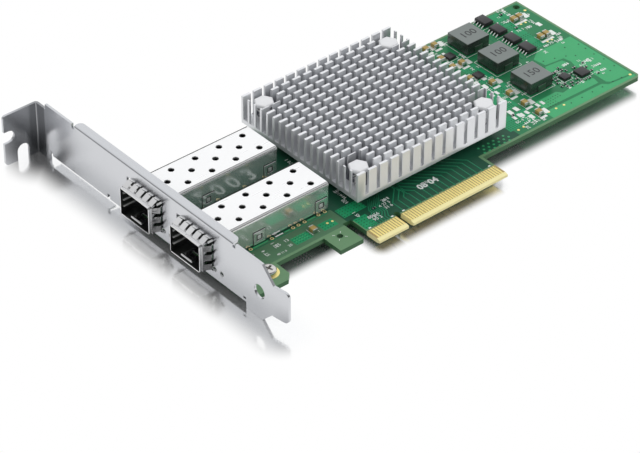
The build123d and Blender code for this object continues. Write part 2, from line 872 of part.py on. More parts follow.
with BuildPart() as capacitor_caps:
    cap_shift = (capacitor_body_length + capacitor_cap) / 2
    with BuildSketch(Plane.XY):
        for x, y in capacitor_places:
            with Locations((x, y - cap_shift), (x, y + cap_shift)):
                Rectangle(capacitor_width, capacitor_cap)
    extrude(amount=capacitor_height)
save(capacitor_caps.part, "capacitor_caps")

# Chip resistors
chip_resistor_places = [
    *from_far_edge(chip_resistor_insets),
    connector_resistor_place,
    port_resistor_place,
]
with BuildPart() as chip_resistors:
    with BuildSketch(Plane.XY):
        with Locations(*chip_resistor_places):
            Rectangle(chip_resistor_length, chip_resistor_width)
    extrude(amount=chip_resistor_height)
save(chip_resistors.part, "chip_resistors")
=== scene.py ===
import random
from math import cos, pi, radians, sin

import bpy
from mathutils import Matrix, Vector


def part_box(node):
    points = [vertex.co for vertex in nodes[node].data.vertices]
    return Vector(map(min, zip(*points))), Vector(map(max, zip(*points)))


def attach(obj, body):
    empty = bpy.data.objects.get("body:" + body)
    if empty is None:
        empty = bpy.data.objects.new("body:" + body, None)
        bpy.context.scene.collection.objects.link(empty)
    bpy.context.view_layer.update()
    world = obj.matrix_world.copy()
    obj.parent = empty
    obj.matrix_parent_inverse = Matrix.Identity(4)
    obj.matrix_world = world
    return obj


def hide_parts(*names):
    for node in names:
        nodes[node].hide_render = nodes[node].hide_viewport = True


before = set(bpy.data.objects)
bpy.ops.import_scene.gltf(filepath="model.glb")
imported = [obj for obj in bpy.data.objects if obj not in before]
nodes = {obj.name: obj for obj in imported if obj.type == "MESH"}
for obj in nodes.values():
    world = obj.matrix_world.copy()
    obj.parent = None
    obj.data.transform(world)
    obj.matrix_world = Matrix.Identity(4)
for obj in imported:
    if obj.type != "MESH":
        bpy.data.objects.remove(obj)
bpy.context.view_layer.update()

mm = 0.001  # the frame is in metres, and the sizes and places below are in millimetres
draw = random.Random(7)


# Small tools that every piece is made with

def startClean():
    if bpy.context.mode != "OBJECT":
        bpy.ops.object.mode_set(mode="OBJECT")
    bpy.ops.object.select_all(action="DESELECT")


def selectOnly(*chosen):
    startClean()
    for piece in chosen:
        piece.select_set(True)
    bpy.context.view_layer.objects.active = chosen[0]


def addObject(name, data):
    made = bpy.data.objects.new(name, data)
    bpy.context.scene.collection.objects.link(made)
    return made


def settle(piece):
    selectOnly(piece)
    bpy.ops.object.transform_apply(location=True, rotation=True, scale=True)
    return piece


def joinAll(pieces, name):
    selectOnly(*pieces)
    if len(pieces) > 1:
        bpy.ops.object.join()
    joined = bpy.context.active_object
    joined.name = name
    return joined


def modify(piece, kind, **settings):
    selectOnly(piece)
    change = piece.modifiers.new(kind.lower(), kind)
    for title, value in settings.items():
        setattr(change, title, value)
    bpy.ops.object.modifier_apply(modifier=change.name)
    return piece


def bevelEdges(piece, width, steps=2, angle=40):
    return modify(
        piece, "BEVEL", width=width * mm, segments=steps, limit_method="ANGLE", angle_limit=radians(angle)
    )


def thicken(piece, thickness, offset):
    return modify(piece, "SOLIDIFY", thickness=thickness * mm, offset=offset)


def cutOut(piece, cutter):
    modify(piece, "BOOLEAN", object=cutter, operation="DIFFERENCE")
    bpy.data.objects.remove(cutter)


def smoothByAngle(piece, angle=35):
    selectOnly(piece)
    bpy.ops.object.shade_smooth_by_angle(angle=radians(angle))
    return piece


def evenNormals(piece):
    return modify(piece, "WEIGHTED_NORMAL", keep_sharp=True)


def startEdit(piece, parts=None, chosen=None):
    selectOnly(piece)
    bpy.ops.object.mode_set(mode="EDIT")
    bpy.ops.mesh.select_all(action="DESELECT" if parts else "SELECT")
    if parts:
        bpy.ops.object.mode_set(mode="OBJECT")
        for part in getattr(piece.data, parts):
            part.select = chosen(part)
        bpy.ops.object.mode_set(mode="EDIT")


def endEdit():
    bpy.ops.object.mode_set(mode="OBJECT")


def facesUp(face):
    return face.normal.z > 0.9


def roundChosen(piece, parts, chosen, radius, steps):
    startEdit(piece, parts, chosen)
    bpy.ops.mesh.bevel(offset=radius * mm, segments=steps, affect="EDGES")
    endEdit()


def insetTop(piece, rim, rise):
    startEdit(piece, "polygons", facesUp)
    bpy.ops.mesh.inset(thickness=rim * mm)
    bpy.ops.transform.translate(value=(0, 0, rise * mm))
    endEdit()


def turnOutwards(piece):
    startEdit(piece)
    bpy.ops.mesh.normals_make_consistent(inside=False)
    endEdit()
    return piece


def copyNode(node, name):
    piece = addObject(name, nodes[node].data.copy())
    startEdit(piece)
    bpy.ops.mesh.remove_doubles(threshold=0.002 * mm)
    bpy.ops.mesh.dissolve_limited(angle_limit=radians(0.5))
    endEdit()
    return piece


def block(name, low, high):
    startClean()
    middle = [(a + b) / 2 * mm for a, b in zip(low, high)]
    bpy.ops.mesh.primitive_cube_add(size=1, location=middle)
    piece = bpy.context.active_object
    piece.name = name
    piece.scale = [(b - a) * mm for a, b in zip(low, high)]
    return settle(piece)


def tube(sides, radius, height, middle=(0, 0, 0), **more):
    startClean()
    bpy.ops.mesh.primitive_cylinder_add(
        vertices=sides, radius=radius * mm, depth=height * mm, location=[place * mm for place in middle], **more
    )
    return settle(bpy.context.active_object)


def ring(radius, wire, **more):
    startClean()
    bpy.ops.mesh.primitive_torus_add(
        major_segments=28, minor_segments=8, major_radius=radius * mm, minor_radius=wire * mm, **more
    )
    return settle(bpy.context.active_object)


def spread(pattern, name, places):
    copies = []
    for place in places:
        copy = addObject(name, pattern.data.copy())
        copy.data.transform(place)
        copies.append(copy)
    bpy.data.objects.remove(pattern)
    return joinAll(copies, name)


def at(x, y, z=0.0, turn=0.0, scale=(1, 1, 1)):
    where = Matrix.Translation((x * mm, y * mm, z * mm))
    return where @ Matrix.Rotation(radians(turn), 4, "Z") @ Matrix.Diagonal((*scale, 1))


def finishPiece(piece, materials, slotName, *replaced):
    piece.data.materials.clear()
    for material in [materials] if isinstance(materials, str) else materials:
        piece.data.materials.append(finish[material])
    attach(piece, "root")
    if replaced:
        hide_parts(*replaced)
    return piece


def finishCopy(node, name, width, steps, material, slotName, smooth=35):
    piece = smoothByAngle(bevelEdges(copyNode(node, name), width, steps), smooth)
    finishPiece(piece, material, slotName, node)


# Shader maths: a wrapped socket that adds its own Math nodes

class Wave:
    def __init__(self, look, socket):
        self.look = look
        self.socket = socket

    def reckon(self, operation, first, second=0.0):
        return self.look.node("ShaderNodeMath", {"operation": operation}, {0: first, 1: second})

    def __add__(self, other):
        return self.reckon("ADD", self, other)

    def __sub__(self, other):
        return self.reckon("SUBTRACT", self, other)

    def __rsub__(self, other):
        return self.reckon("SUBTRACT", other, self)

    def __mul__(self, other):
        return self.reckon("MULTIPLY", self, other)

    def __gt__(self, other):
        return self.reckon("GREATER_THAN", self, other)

    def __lt__(self, other):
        return self.reckon("LESS_THAN", self, other)

    def within(self, low, high):
        return (self > low) * (self < high)

    def ease(self, low, high):
        return self.look.node("ShaderNodeMapRange", {"interpolation_type": "SMOOTHSTEP"}, {
            "Value": self, "From Min": low, "From Max": high,
        })


class NodeWork:
    def __init__(self, tree):
        self.tree = tree

    def node(self, kind, settings=None, sockets=None, output=0):
        made = self.tree.nodes.new(kind)
        for title, value in (settings or {}).items():
            setattr(made, title, value)
        for title, value in (sockets or {}).items():
            self.plug(made.inputs[title], value)
        return Wave(self, made.outputs[output]) if made.outputs else None

    def plug(self, socket, value):
        if isinstance(value, Wave):
            self.tree.links.new(value.socket, socket)
        else:
            socket.default_value = (*value, 1) if socket.type == "RGBA" else value

    def output(self, wave, name):
        return Wave(self, wave.socket.node.outputs[name])

    def mix(self, share, first, second):
        return self.node("ShaderNodeMix", {"data_type": "RGBA"}, {0: share, 6: first, 7: second}, output=2)


class Look(NodeWork):
    def __init__(self, name, **fixed):
        self.material = bpy.data.materials.new(name)
        self.material.use_nodes = True
        super().__init__(self.material.node_tree)
        self.shader = self.tree.nodes["Principled BSDF"]
        for title, value in fixed.items():
            self.shader.inputs[title.replace("_", " ")].default_value = value

    def feed(self, title, value):
        self.plug(self.shader.inputs[title], value)

    def place(self, stretch=(1, 1, 1)):
        where = self.node("ShaderNodeTexCoord", output="Object")
        scale = [share / mm for share in stretch]
        return self.node("ShaderNodeMapping", sockets={"Vector": where, "Scale": scale})

    def axes(self):
        parts = self.node("ShaderNodeSeparateXYZ", sockets={0: self.place()})
        return [self.output(parts, axis) for axis in "XYZ"]

    def noise(self, perMm, detail=2, stretch=(1, 1, 1), roughness=0.5):
        return self.node("ShaderNodeTexNoise", sockets={
            "Vector": self.place(stretch), "Scale": perMm, "Detail": detail, "Roughness": roughness,
        })

    def coat(self, colour, grain, change, roughness, bumpDepth):
        self.feed("Base Color", colour)
        self.feed("Roughness", grain * change + roughness)
        self.feed("Normal", self.node("ShaderNodeBump", sockets={"Height": grain, "Distance": bumpDepth * mm}))
        return self.material


# Finishes

def makeMetal(name, colour, shade, roughness, grain, change, bumpDepth, metallic=1.0, stretch=(1, 1, 1)):
    look = Look(name, Metallic=metallic)
    lines = look.noise(grain, 3, stretch)
    cloud = look.noise(0.08, 2)
    return look.coat(look.mix(cloud, colour, shade), lines, change, roughness - change / 2, bumpDepth)


def makeSinkMetal(node, topShade, paintedGapShade):
    look = Look("heatSinkAluminium", Metallic=0.56)
    low, high = [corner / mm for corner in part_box(node)]
    outer = {"column": 4.0, "row": 3.5, "edge": 0.3}
    pin = {"tip": 0.08, "foot": 1.5, "head": 0.4, "lightShare": 0.6}
    x, y, z = look.axes()
    lines = look.noise(4.0, 3, (1, 1, 0.1))
    cloud = look.noise(0.08, 2)
    paintedShadeArea = x.within(low.x + outer["column"], high.x - outer["edge"])
    paintedShadeArea = paintedShadeArea * y.within(low.y + outer["row"], high.y - outer["edge"])
    # Painted shade: faces between the inner pins darken most at the base, using the second colour. The outer rows,
    # the left columns and the pin tips keep the metal's colour.
    depth = 1 - z.ease(low.z + pin["foot"], high.z - pin["head"]) * pin["lightShare"]
    depth = (z < high.z - pin["tip"]) * depth
    bright = look.mix(cloud, topShade, [share * 0.95 for share in topShade])
    return look.coat(look.mix(paintedShadeArea * depth, bright, paintedGapShade), lines, 0.08, 0.26, 0.001)


def makeBracketSteel(fresh, shade, paintedFoldShade):
    look = Look("bracketSteel", Metallic=1.0)
    tab = {"from": 103.0, "far": -74.0, "fold": -60.0, "share": 0.7}
    x, y = look.axes()[:2]
    lines = look.noise(5.0, 3, (1, 0.02, 1))
    cloud = look.noise(0.08, 2)
    # Painted shade: beyond y 103 the tab darkens towards the fold, and the plate there too, standing in for the dark
    # reflections in that corner.
    paintedShadeByFold = (y > tab["from"]) * x.ease(tab["far"], tab["fold"]) * tab["share"]
    bright = look.mix(cloud, fresh, shade)
    return look.coat(look.mix(paintedShadeByFold, bright, paintedFoldShade), lines, 0.06, 0.17, 0.0006)


def makeMoulding(name, colour, shade, roughness, grain, bumpDepth):
    look = Look(name)
    specks = look.noise(grain, 4, roughness=0.6)
    cloud = look.noise(0.4, 2)
    return look.coat(look.mix(cloud, colour, shade), specks, 0.16, roughness - 0.08, bumpDepth)


def makeSolderMask():
    look = Look("solderMask", Specular_IOR_Level=0.2)
    areas = {
        # low x, high x, low y, high y
        "main": (-57.6, 108.1, 12.3, 68.2), "tongue": (-11.6, 38.6, 6.3, 12.4), "foot": (-57.6, -52.0, 12.3, 20.0),
        "power": (56.5, 108.1, 12.3, 68.2), "ports": (-46.0, -14.0, 12.3, 21.0),
    }
    faces = {"under": -1.56, "side": -1.55, "top": -0.02}
    contacts = {"left": -12.7, "right": 39.7, "end": 5.8, "tips": 1.28}
    x, y, z = look.axes()
    cloud = look.noise(0.12, 3)
    weave = look.noise(3.0, 2, (1, 0.25, 1))
    bare = look.mix(cloud, (0.11, 0.235, 0.115), (0.15, 0.28, 0.15))
    plane = look.mix(cloud, (0.008, 0.062, 0.034), (0.017, 0.095, 0.052))
    power = look.mix(cloud, (0.02, 0.20, 0.075), (0.03, 0.27, 0.105))
    under = look.mix(cloud, (0.02, 0.15, 0.065), (0.03, 0.20, 0.09))
    area = {
        name: x.within(left, right) * y.within(front, back) for name, (left, right, front, back) in areas.items()
    }
    body = look.mix(area["main"] + area["tongue"] - area["foot"], bare, plane)
    body = look.mix(area["power"] * 0.75, body, power)
    body = look.mix(area["ports"] * 0.5, body, bare)
    body = look.mix(z < faces["under"], body, under)
    layers = look.noise(2.4, 2, (0.02, 0.02, 1))
    laminate = look.mix(layers, (0.03, 0.11, 0.045), (0.06, 0.15, 0.065))
    body = look.mix(z.within(faces["side"], faces["top"]), body, laminate)
    tongue = look.mix(cloud, (0.86, 0.78, 0.38), (0.90, 0.82, 0.43))
    tongue = look.mix((z > faces["top"]) * (y > contacts["tips"]), tongue, (0.42, 0.31, 0.13))
    byContacts = x.within(contacts["left"], contacts["right"]) * (y < contacts["end"])
    return look.coat(look.mix(byContacts, body, tongue), weave, 0.1, 0.27, 0.012)


def makeCopperUnderMask(name, colour, shade):
    look = Look(name, Specular_IOR_Level=0.2)
    cloud = look.noise(0.2, 3)
    weave = look.noise(3.0, 2, (1, 0.25, 1))
    return look.coat(look.mix(cloud, colour, shade), weave, 0.1, 0.27, 0.01)


print("finishes")
finish = {
    # two colours, roughness and grain per mm; for metals then the change of roughness, bump depth and metallic
    "mask": makeSolderMask(),
    "pour": makeCopperUnderMask("maskOverCopper", (0.045, 0.35, 0.135), (0.06, 0.40, 0.165)),
    "grid": makeCopperUnderMask("maskOverGrid", (0.010, 0.25, 0.10), (0.018, 0.31, 0.125)),
    "trace": makeCopperUnderMask("maskOverTrace", (0.012, 0.19, 0.085), (0.03, 0.26, 0.13)),
    "seam": makeCopperUnderMask("maskOverLaminate", (0.006, 0.035, 0.02), (0.012, 0.06, 0.034)),
    "silk": makeMoulding("legendInk", (0.72, 0.76, 0.73), (0.82, 0.84, 0.82), 0.55, 6.0, 0.004),
    "dimSilk": makeMoulding("legendInkDim", (0.42, 0.50, 0.46), (0.55, 0.60, 0.57), 0.5, 6.0, 0.004),
    "gold": makeMetal(
        "goldPlating", (0.98, 0.84, 0.32), (0.95, 0.79, 0.28), 0.28, 0.9, 0.06, 0.0003, 0.5, (1, 0.15, 1)
    ),
    # the third colour is painted shade near the fold
    "bracket": makeBracketSteel((0.645, 0.655, 0.68), (0.615, 0.625, 0.65), (0.19, 0.195, 0.205)),
    "cage": makeMetal(
        "cageMetal", (0.965, 0.965, 0.965), (0.94, 0.94, 0.945), 0.28, 1.4, 0.03, 0.00008, 0.72, (0.08, 1, 1)
    ),
    "cageSide": makeMetal(
        "cageSideMetal", (0.965, 0.97, 0.97), (0.94, 0.945, 0.945), 0.17, 1.4, 0.03, 0.00004, 0.84, (0.08, 1, 1)
    ),
    # a dark copy of the cage metal, painted shade inside the ports
    "cageInside": makeMetal(
        "cageInside", (0.34, 0.35, 0.35), (0.22, 0.23, 0.23), 0.3, 3.0, 0.1, 0.001, 1.0, (0.04, 1, 1)
    ),
    "spring": makeMetal("springMetal", (0.74, 0.74, 0.74), (0.44, 0.44, 0.45), 0.1, 4.0, 0.1, 0.001),
    "screw": makeMetal("screwSteel", (0.72, 0.71, 0.69), (0.62, 0.61, 0.59), 0.2, 3.0, 0.12, 0.002),
    # the second colour is painted shade between the pins
    "sink": makeSinkMetal("heat_sink", (0.82, 0.83, 0.85), (0.22, 0.23, 0.26)),
    "lid": makeMetal("chipLid", (0.55, 0.55, 0.56), (0.5, 0.5, 0.51), 0.35, 4.0, 0.1, 0.002),
    "tin": makeMetal("tinPlating", (0.66, 0.69, 0.66), (0.56, 0.59, 0.565), 0.32, 2.5, 0.16, 0.004),
    "landing": makeMetal("solderedPad", (0.84, 0.87, 0.84), (0.72, 0.76, 0.72), 0.34, 2.0, 0.16, 0.003, 0.3),
    "ring": makeMetal("platedRing", (0.86, 0.74, 0.36), (0.80, 0.68, 0.30), 0.3, 2.0, 0.1, 0.001, 0.4),
    "leaf": makeMetal("leafSpring", (0.72, 0.73, 0.72), (0.60, 0.61, 0.60), 0.3, 3.0, 0.1, 0.002, 0.35),
    "nylon": makeMoulding("whiteNylon", (0.74, 0.745, 0.76), (0.79, 0.79, 0.80), 0.42, 3.0, 0.006),
    "black": makeMoulding("blackMoulding", (0.018, 0.018, 0.02), (0.028, 0.028, 0.03), 0.42, 5.0, 0.006),
    "ferrite": makeMetal("pressedFerrite", (0.205, 0.23, 0.222), (0.225, 0.25, 0.24), 0.3, 6.0, 0.1, 0.004, 0.85),
    # a darker copy of the ferrite, painted shade on the inductor sides
    "ferriteSide": makeMetal(
        "pressedFerriteSide", (0.085, 0.105, 0.095), (0.11, 0.13, 0.12), 0.28, 6.0, 0.1, 0.004, 0.8
    ),
    "terminal": makeMetal("dullTerminal", (0.20, 0.24, 0.215), (0.26, 0.30, 0.27), 0.35, 3.0, 0.12, 0.003),
    "mark": makeMoulding("laserMark", (0.035, 0.038, 0.04), (0.05, 0.053, 0.055), 0.6, 6.0, 0.004),
    "ceramic": makeMoulding("tanCeramic", (0.34, 0.235, 0.06), (0.42, 0.30, 0.09), 0.45, 3.0, 0.006),
    "film": makeMoulding("resistorFilm", (0.02, 0.02, 0.022), (0.03, 0.03, 0.032), 0.35, 4.0, 0.004),
    "light": makeMoulding("lightBody", (0.10, 0.14, 0.11), (0.14, 0.18, 0.15), 0.15, 3.0, 0.003),
    "pad": makeMoulding("thermalPad", (0.30, 0.31, 0.33), (0.36, 0.37, 0.39), 0.8, 4.0, 0.02),
    "substrate": makeCopperUnderMask("chipSubstrate", (0.02, 0.14, 0.07), (0.03, 0.18, 0.09)),
    # dark finish: painted shade in the pad holes, behind the catch windows and under the collars, and the dark lines
    # along the lids
    "dark": makeMoulding("darkHole", (0.006, 0.012, 0.009), (0.01, 0.018, 0.013), 0.5, 4.0, 0.002),
}


# Circuit board: the mask shows the copper under it, and all that is printed or plated lies on top
board = {
    # heights over the component side, and the thickness of what is printed
    "bottom": -1.57, "sunk": -0.01, "copper": 0.02, "grid": 0.015, "trace": 0.012, "mark": 0.02, "ink": 0.023,
    "pad": 0.03, "coat": 0.03,
}
dressed = {
    "circuit_board": "mask", "controller_substrate": "substrate", "thermal_pad": "pad", "controller_lid": "lid",
}
for node, material in dressed.items():
    nodes[node].data.materials.clear()
    nodes[node].data.materials.append(finish[material])


def drawFlat(name, lines, level, closed, tilt, **settings):
    drawn = bpy.data.curves.new(name, "CURVE")
    for title, value in settings.items():
        setattr(drawn, title, value)
    for line in lines:
        spline = drawn.splines.new("POLY")
        spline.points.add(len(line) - 1)
        for point, (x, y) in zip(spline.points, line):
            point.co = (x * mm, y * mm, 0, 1)
            point.tilt = tilt
        spline.use_cyclic_u = closed
    selectOnly(addObject(name, drawn))
    bpy.ops.object.convert(target="MESH")
    piece = bpy.context.active_object
    piece.location.z = level * mm
    return settle(piece)


def layOutline(name, outline, low, high):
    return turnOutwards(drawFlat(
        name, [outline], (low + high) / 2, True, 0, dimensions="2D", fill_mode="BOTH", extrude=(high - low) / 2 * mm,
    ))


def oblong(left, front, right, back):
    return [(left, front), (right, front), (right, back), (left, back)]


def layPours(name, outlines, low, high, material):
    pours = [layOutline(part, outline, low, high) for part, outline in outlines.items()]
    finishPiece(joinAll(pours, name), material, "solder_mask")


def layTracks(name, tracks, width, level):
    flat = drawFlat(
        name, tracks, level, False, pi / 2, dimensions="3D", twist_mode="Z_UP", extrude=width / 2 * mm,
    )
    return turnOutwards(thicken(flat, board["coat"], 0))


def layBars(name, bars, level=board["mark"], height=board["coat"]):
    unit = block("bar", (-0.5, -0.5, -0.5), (0.5, 0.5, 0.5))
    bevelEdges(unit, 0.06, 1)
    return spread(unit, name, [
        at(x, y, level, turn, (length, width, height)) for x, y, length, width, turn in bars
    ])


def layDots(name, dots, sides, level=board["mark"], height=board["coat"], hole=0.0):
    unit = tube(sides, 1, 1)
    insetTop(unit, 1 - hole if hole else 0.35, -0.6 if hole else 0.2)
    return spread(unit, name, [
        at(x, y, level, 0, (radius, radius, height)) for x, y, radius in dots
    ])


def layRings(name, rings, level, height, wire):
    return smoothByAngle(spread(ring(1 - wire, wire), name, [
        at(x, y, level, 0, (radius, radius, height)) for x, y, radius in rings
    ]), 60)


def layNumbers(name, numbers, level=board["mark"], weight=0.0):
    made = []
    for words, x, y, size, turn in numbers:
        startClean()
        bpy.ops.object.text_add()
        text = bpy.context.active_object
        text.data.body = words
        text.data.align_x = "CENTER"
        text.data.align_y = "CENTER"
        text.data.size = size * mm
        text.data.resolution_u = 2
        text.data.extrude = board["coat"] / 2 * mm
        text.data.offset = weight * mm
        bpy.ops.object.convert(target="MESH")
        text = bpy.context.active_object
        text.location = (x * mm, y * mm, level * mm)
        text.rotation_euler.z = radians(turn)
        made.append(settle(text))
    return joinAll(made, name)


print("copper and legend on the board")
powerPours = {
    "rearPour": [
        (92.7, 42.6), (98.7, 42.2), (107.6, 42.2), (107.6, 14.0), (99.0, 15.0), (97.9, 16.0), (98.0, 20.6),
        (96.6, 28.6), (97.4, 31.4), (96.9, 34.4), (89.6, 35.2), (89.0, 40.0),
    ],
    "edgePour": [
        (72.2, 17.6), (95.6, 17.2), (96.2, 19.6), (95.6, 21.4), (86.4, 20.8), (83.0, 20.4), (81.6, 22.2),
        (72.2, 22.2),
    ],
    "lowPour": [(71.0, 12.2), (107.6, 12.2), (107.9, 13.4), (97.6, 14.4), (95.9, 16.0), (71.0, 16.4)],
    "middlePour": [(84.4, 29.0), (89.0, 34.6), (95.6, 33.8), (96.2, 31.4), (93.0, 30.6), (85.0, 31.2)],
}
gridPours = {
    "sinkSide": oblong(66.8, 39.8, 72.6, 50.8),
    "sinkSideLow": [(60.6, 24.6), (67.6, 24.6), (67.6, 30.0), (72.6, 30.0), (72.6, 37.4), (60.6, 37.4)],
    "sinkCorner": oblong(55.4, 15.4, 67.6, 22.0),
    "sinkTop": oblong(55.6, 60.4, 64.2, 67.6),
    "chipSide": oblong(94.9, 44.0, 98.6, 68.0),
    "corner": oblong(98.7, 62.6, 101.4, 66.4),
    "hookSide": oblong(-13.4, 15.0, -4.6, 19.6),
    "tongueSide": oblong(-12.2, 6.6, -7.4, 12.6),
    "portSide": oblong(-32.8, 14.0, -26.4, 17.4),
    "slotSide": oblong(-22.0, 14.0, -16.6, 17.6),
}
layPours("powerPours", powerPours, board["sunk"], board["copper"], "pour")
layPours("gridPours", gridPours, board["sunk"], board["grid"], "grid")

gridAreas = [
    # corner x, y, count along x, count along y, pitch
    (95.3, 61.2, 4, 3, 1.0), (95.3, 57.2, 3, 3, 1.0), (95.3, 50.4, 4, 3, 1.0), (95.3, 44.8, 4, 3, 1.0),
    (67.2, 47.2, 5, 3, 0.9), (67.2, 40.6, 4, 3, 0.9), (66.4, 33.2, 5, 4, 0.9), (61.4, 25.4, 6, 4, 0.9),
    (56.2, 16.2, 8, 5, 0.9), (56.4, 61.4, 6, 5, 1.0), (74.6, 17.4, 4, 4, 1.1), (79.0, 19.8, 3, 2, 1.1),
    (-12.9, 15.6, 8, 4, 1.15), (-11.6, 7.2, 4, 5, 1.15), (-32.2, 14.6, 6, 3, 1.1), (-21.4, 14.6, 4, 3, 1.1),
]
gridPlaces = [
    (x + step * pitch, y + line * pitch)
    for x, y, across, up, pitch in gridAreas
    for step in range(across)
    for line in range(up)
]
via = {"small": 0.2, "edge": 0.28, "under": 0.26, "chip": 0.3}
viaDots = [(x, y, via["small"]) for x, y in gridPlaces]
edgeVias = [
    (106.4, 37.1), (106.4, 33.9), (106.2, 29.8), (106.6, 25.7), (106.4, 20.8), (103.4, 14.5), (99.7, 14.7),
    (94.9, 14.6), (90.5, 14.7), (85.8, 14.6), (81.0, 14.6), (90.7, 37.3), (94.7, 36.2), (98.4, 34.8), (101.6, 38.6),
    (103.0, 24.0), (103.4, 19.6), (101.0, 33.0),
]
viaDots += [(x, y, via["edge"]) for x, y in edgeVias]
finishPiece(layDots("viaDots", viaDots, 8), "seam", "solder_mask")

# bars are x, y, length, width and turn, dots are x, y and radius
portBars = [(-40.9, 21.2, 5.9, 0.5, 0), (-30.7, 21.2, 2.2, 0.5, 0), (-21.2, 21.2, 3.2, 0.5, 0)]
portDots = [(-32.0 + step * 1.05, 15.3 + line * 0.95, 0.3) for step in range(5) for line in range(3)]
tealDots = [(41.6 + step * 2.1 + line % 2, 12.4 + line * 1.5, 0.42) for step in range(6) for line in range(3)]
greenMarks = [
    layBars("portBars", portBars),
    layDots("portDots", portDots, 8),
    layDots("tealDots", tealDots, 10),
]
finishPiece(joinAll(greenMarks, "greenMarks"), "pour", "solder_mask")

fanOut = []
fan = {
    "first": 2.6, "pitch": 2.3, "count": 15, "middle": 9.0, "bend": 11.4, "later": 0.12, "slope": 0.8,
    "reach": 19.8, "root": 5.8,
}
for lane in range(fan["count"]):
    start = fan["first"] + lane * fan["pitch"]
    side = 1 if start < fan["middle"] else -1
    bend = fan["bend"] + fan["later"] * lane
    slant = min(abs(start - fan["middle"]) * fan["slope"], fan["reach"] - bend)
    end = start + side * slant
    fanOut.append([(start, fan["root"]), (start, bend), (end, bend + slant), (end, fan["reach"])])
for track in range(7):
    start, middle, lift = -2.5 - track, -1.2 - track * 0.7, track * 0.35
    fanOut.append([
        (start, fan["root"]), (start, 7.6 + lift), (middle, 9.6 + lift), (middle, 13.2), (middle + 3.2, 17.4),
    ])
loops = [
    [(-46.2, 20.4), (-16.0, 20.2), (-15.0, 22.4)],
    [(-56.0, 24.0), (-50.0, 24.0), (-47.0, 39.0), (-47.0, 44.0)],
    [(56.6, 58.8), (62.8, 58.8), (63.6, 56.0), (63.6, 47.0)],
    [(60.0, 44.6), (60.0, 39.4), (63.0, 38.4)],
    [(84.6, 62.0), (86.6, 62.0), (86.6, 42.6)],
]
finishPiece(layTracks("fanOutTracks", fanOut + loops, 0.38, board["trace"]), "trace", "solder_mask")

goldDots = [
    (107.1, 63.0, 0.5), (106.7, 13.9, 0.5), (100.3, 57.8, 0.42), (102.2, 57.6, 0.42), (99.8, 44.8, 0.42),
    (101.7, 44.7, 0.42), (78.5, 15.3, 0.42), (75.2, 15.5, 0.42), (72.0, 15.6, 0.42), (-19.0, 16.4, 0.42),
    (-17.2, 16.2, 0.42), (58.0, 14.6, 0.42), (60.4, 14.8, 0.42),
]
finishPiece(layDots("testPads", goldDots, 16, board["pad"], 0.035), "gold", "gold_plating")

plated = [
    # row, radius and places along the row
    (21.25, 0.62, (-44.6, -36.5, -28.3, -26.2, -23.8, -18.4, -15.9)),
    (45.3, 0.6, (-44.6, -36.5, -26.2, -18.4)),
    (36.5, 0.6, (-44.6, -36.5, -26.2, -18.4)),
]
hollow = 0.62
ringPlaces = [(x, row, radius) for row, radius, places in plated for x in places]
# Painted shade: a dark disc in each ring stands for the shade in its hole.
paintedHoleShades = [(x, row, radius * hollow) for x, row, radius in ringPlaces]
finishPiece(layRings("cagePads", ringPlaces, board["pad"], 0.16, 0.26), "ring", "gold_plating")
finishPiece(layDots("cagePadHoles", paintedHoleShades, 12), "dark", "solder_mask")

screwSeat = {"places": ((-47.65, 9.4), (-47.65, 64.6)), "radius": 3.35}
seats = [(x, y, screwSeat["radius"]) for x, y in screwSeat["places"]]
finishPiece(layRings("screwSeats", seats, board["trace"], 0.05, 0.13), "gold", "gold_plating")

hook = {
    "x": -20.25, "y": 9.2, "radius": 1.1, "fit": 1.02, "wall": 0.12, "height": 1.62, "spoke": 1.9, "spokeLength": 0.8,
}
hookMiddle = (hook["x"], hook["y"], board["bottom"] / 2)
holeWall = tube(32, hook["radius"] * hook["fit"], hook["height"], hookMiddle, end_fill_type="NOTHING")
holeWall.name = "hookHoleWall"
finishPiece(smoothByAngle(turnOutwards(thicken(holeWall, hook["wall"], -1))), "mask", "solder_mask")

print("legend")
line = 0.16
bars = []


def frameBars(x, y, size):
    for side in (-1, 1):
        bars.append((x, y + side * size / 2, size, line, 0))
        bars.append((x + side * size / 2, y, size, line, 90))


for row in (60.0, 45.8, 30.4):
    frameBars(78.6, row, 10.9)
for row in (66.2, 59.35, 52.5, 45.65):
    bars += [(91.4, row - 3.15, 6.6, line, 0), (94.9, row - 2.9, 0.5, 0.5, 0)]
for x, y, size in ((69.1, 58.4, 4.0), (68.7, 44.5, 4.0), (95.3, 24.4, 5.2), (89.3, 26.1, 3.9)):
    frameBars(x, y, size)
capacitors = [
    (65.8, 66.4), (69.6, 66.4), (65.8, 59.0), (65.5, 53.1), (69.5, 53.1), (65.3, 44.8), (69.3, 38.6), (69.4, 30.7),
    (69.2, 23.6), (69.2, 17.1), (100.0, 61.0), (102.5, 61.0), (99.6, 47.9), (102.1, 47.9), (-24.7, 16.3),
]
for x, y in capacitors:
    bars += [(x - 1.25, y, 3.3, 0.14, 90), (x + 1.25, y, 3.3, 0.14, 90)]
for angle in (45, 135, 225, 315):
    across, up = hook["spoke"] * cos(radians(angle)), hook["spoke"] * sin(radians(angle))
    bars.append((hook["x"] + across, hook["y"] + up, hook["spokeLength"], line, angle))
bars.append((-33.7, 21.2, 3.0, 0.5, 0))
for column in range(2):
    for row in range(3):
        bars.append((-54.6 + column * 1.9, 15.2 + row * 1.25, 1.3, 0.75, 0))
for x in (-10.8, 37.9, 2.6, -1.9):
    bars.append((x, 6.5, 0.9, 0.5, 0))
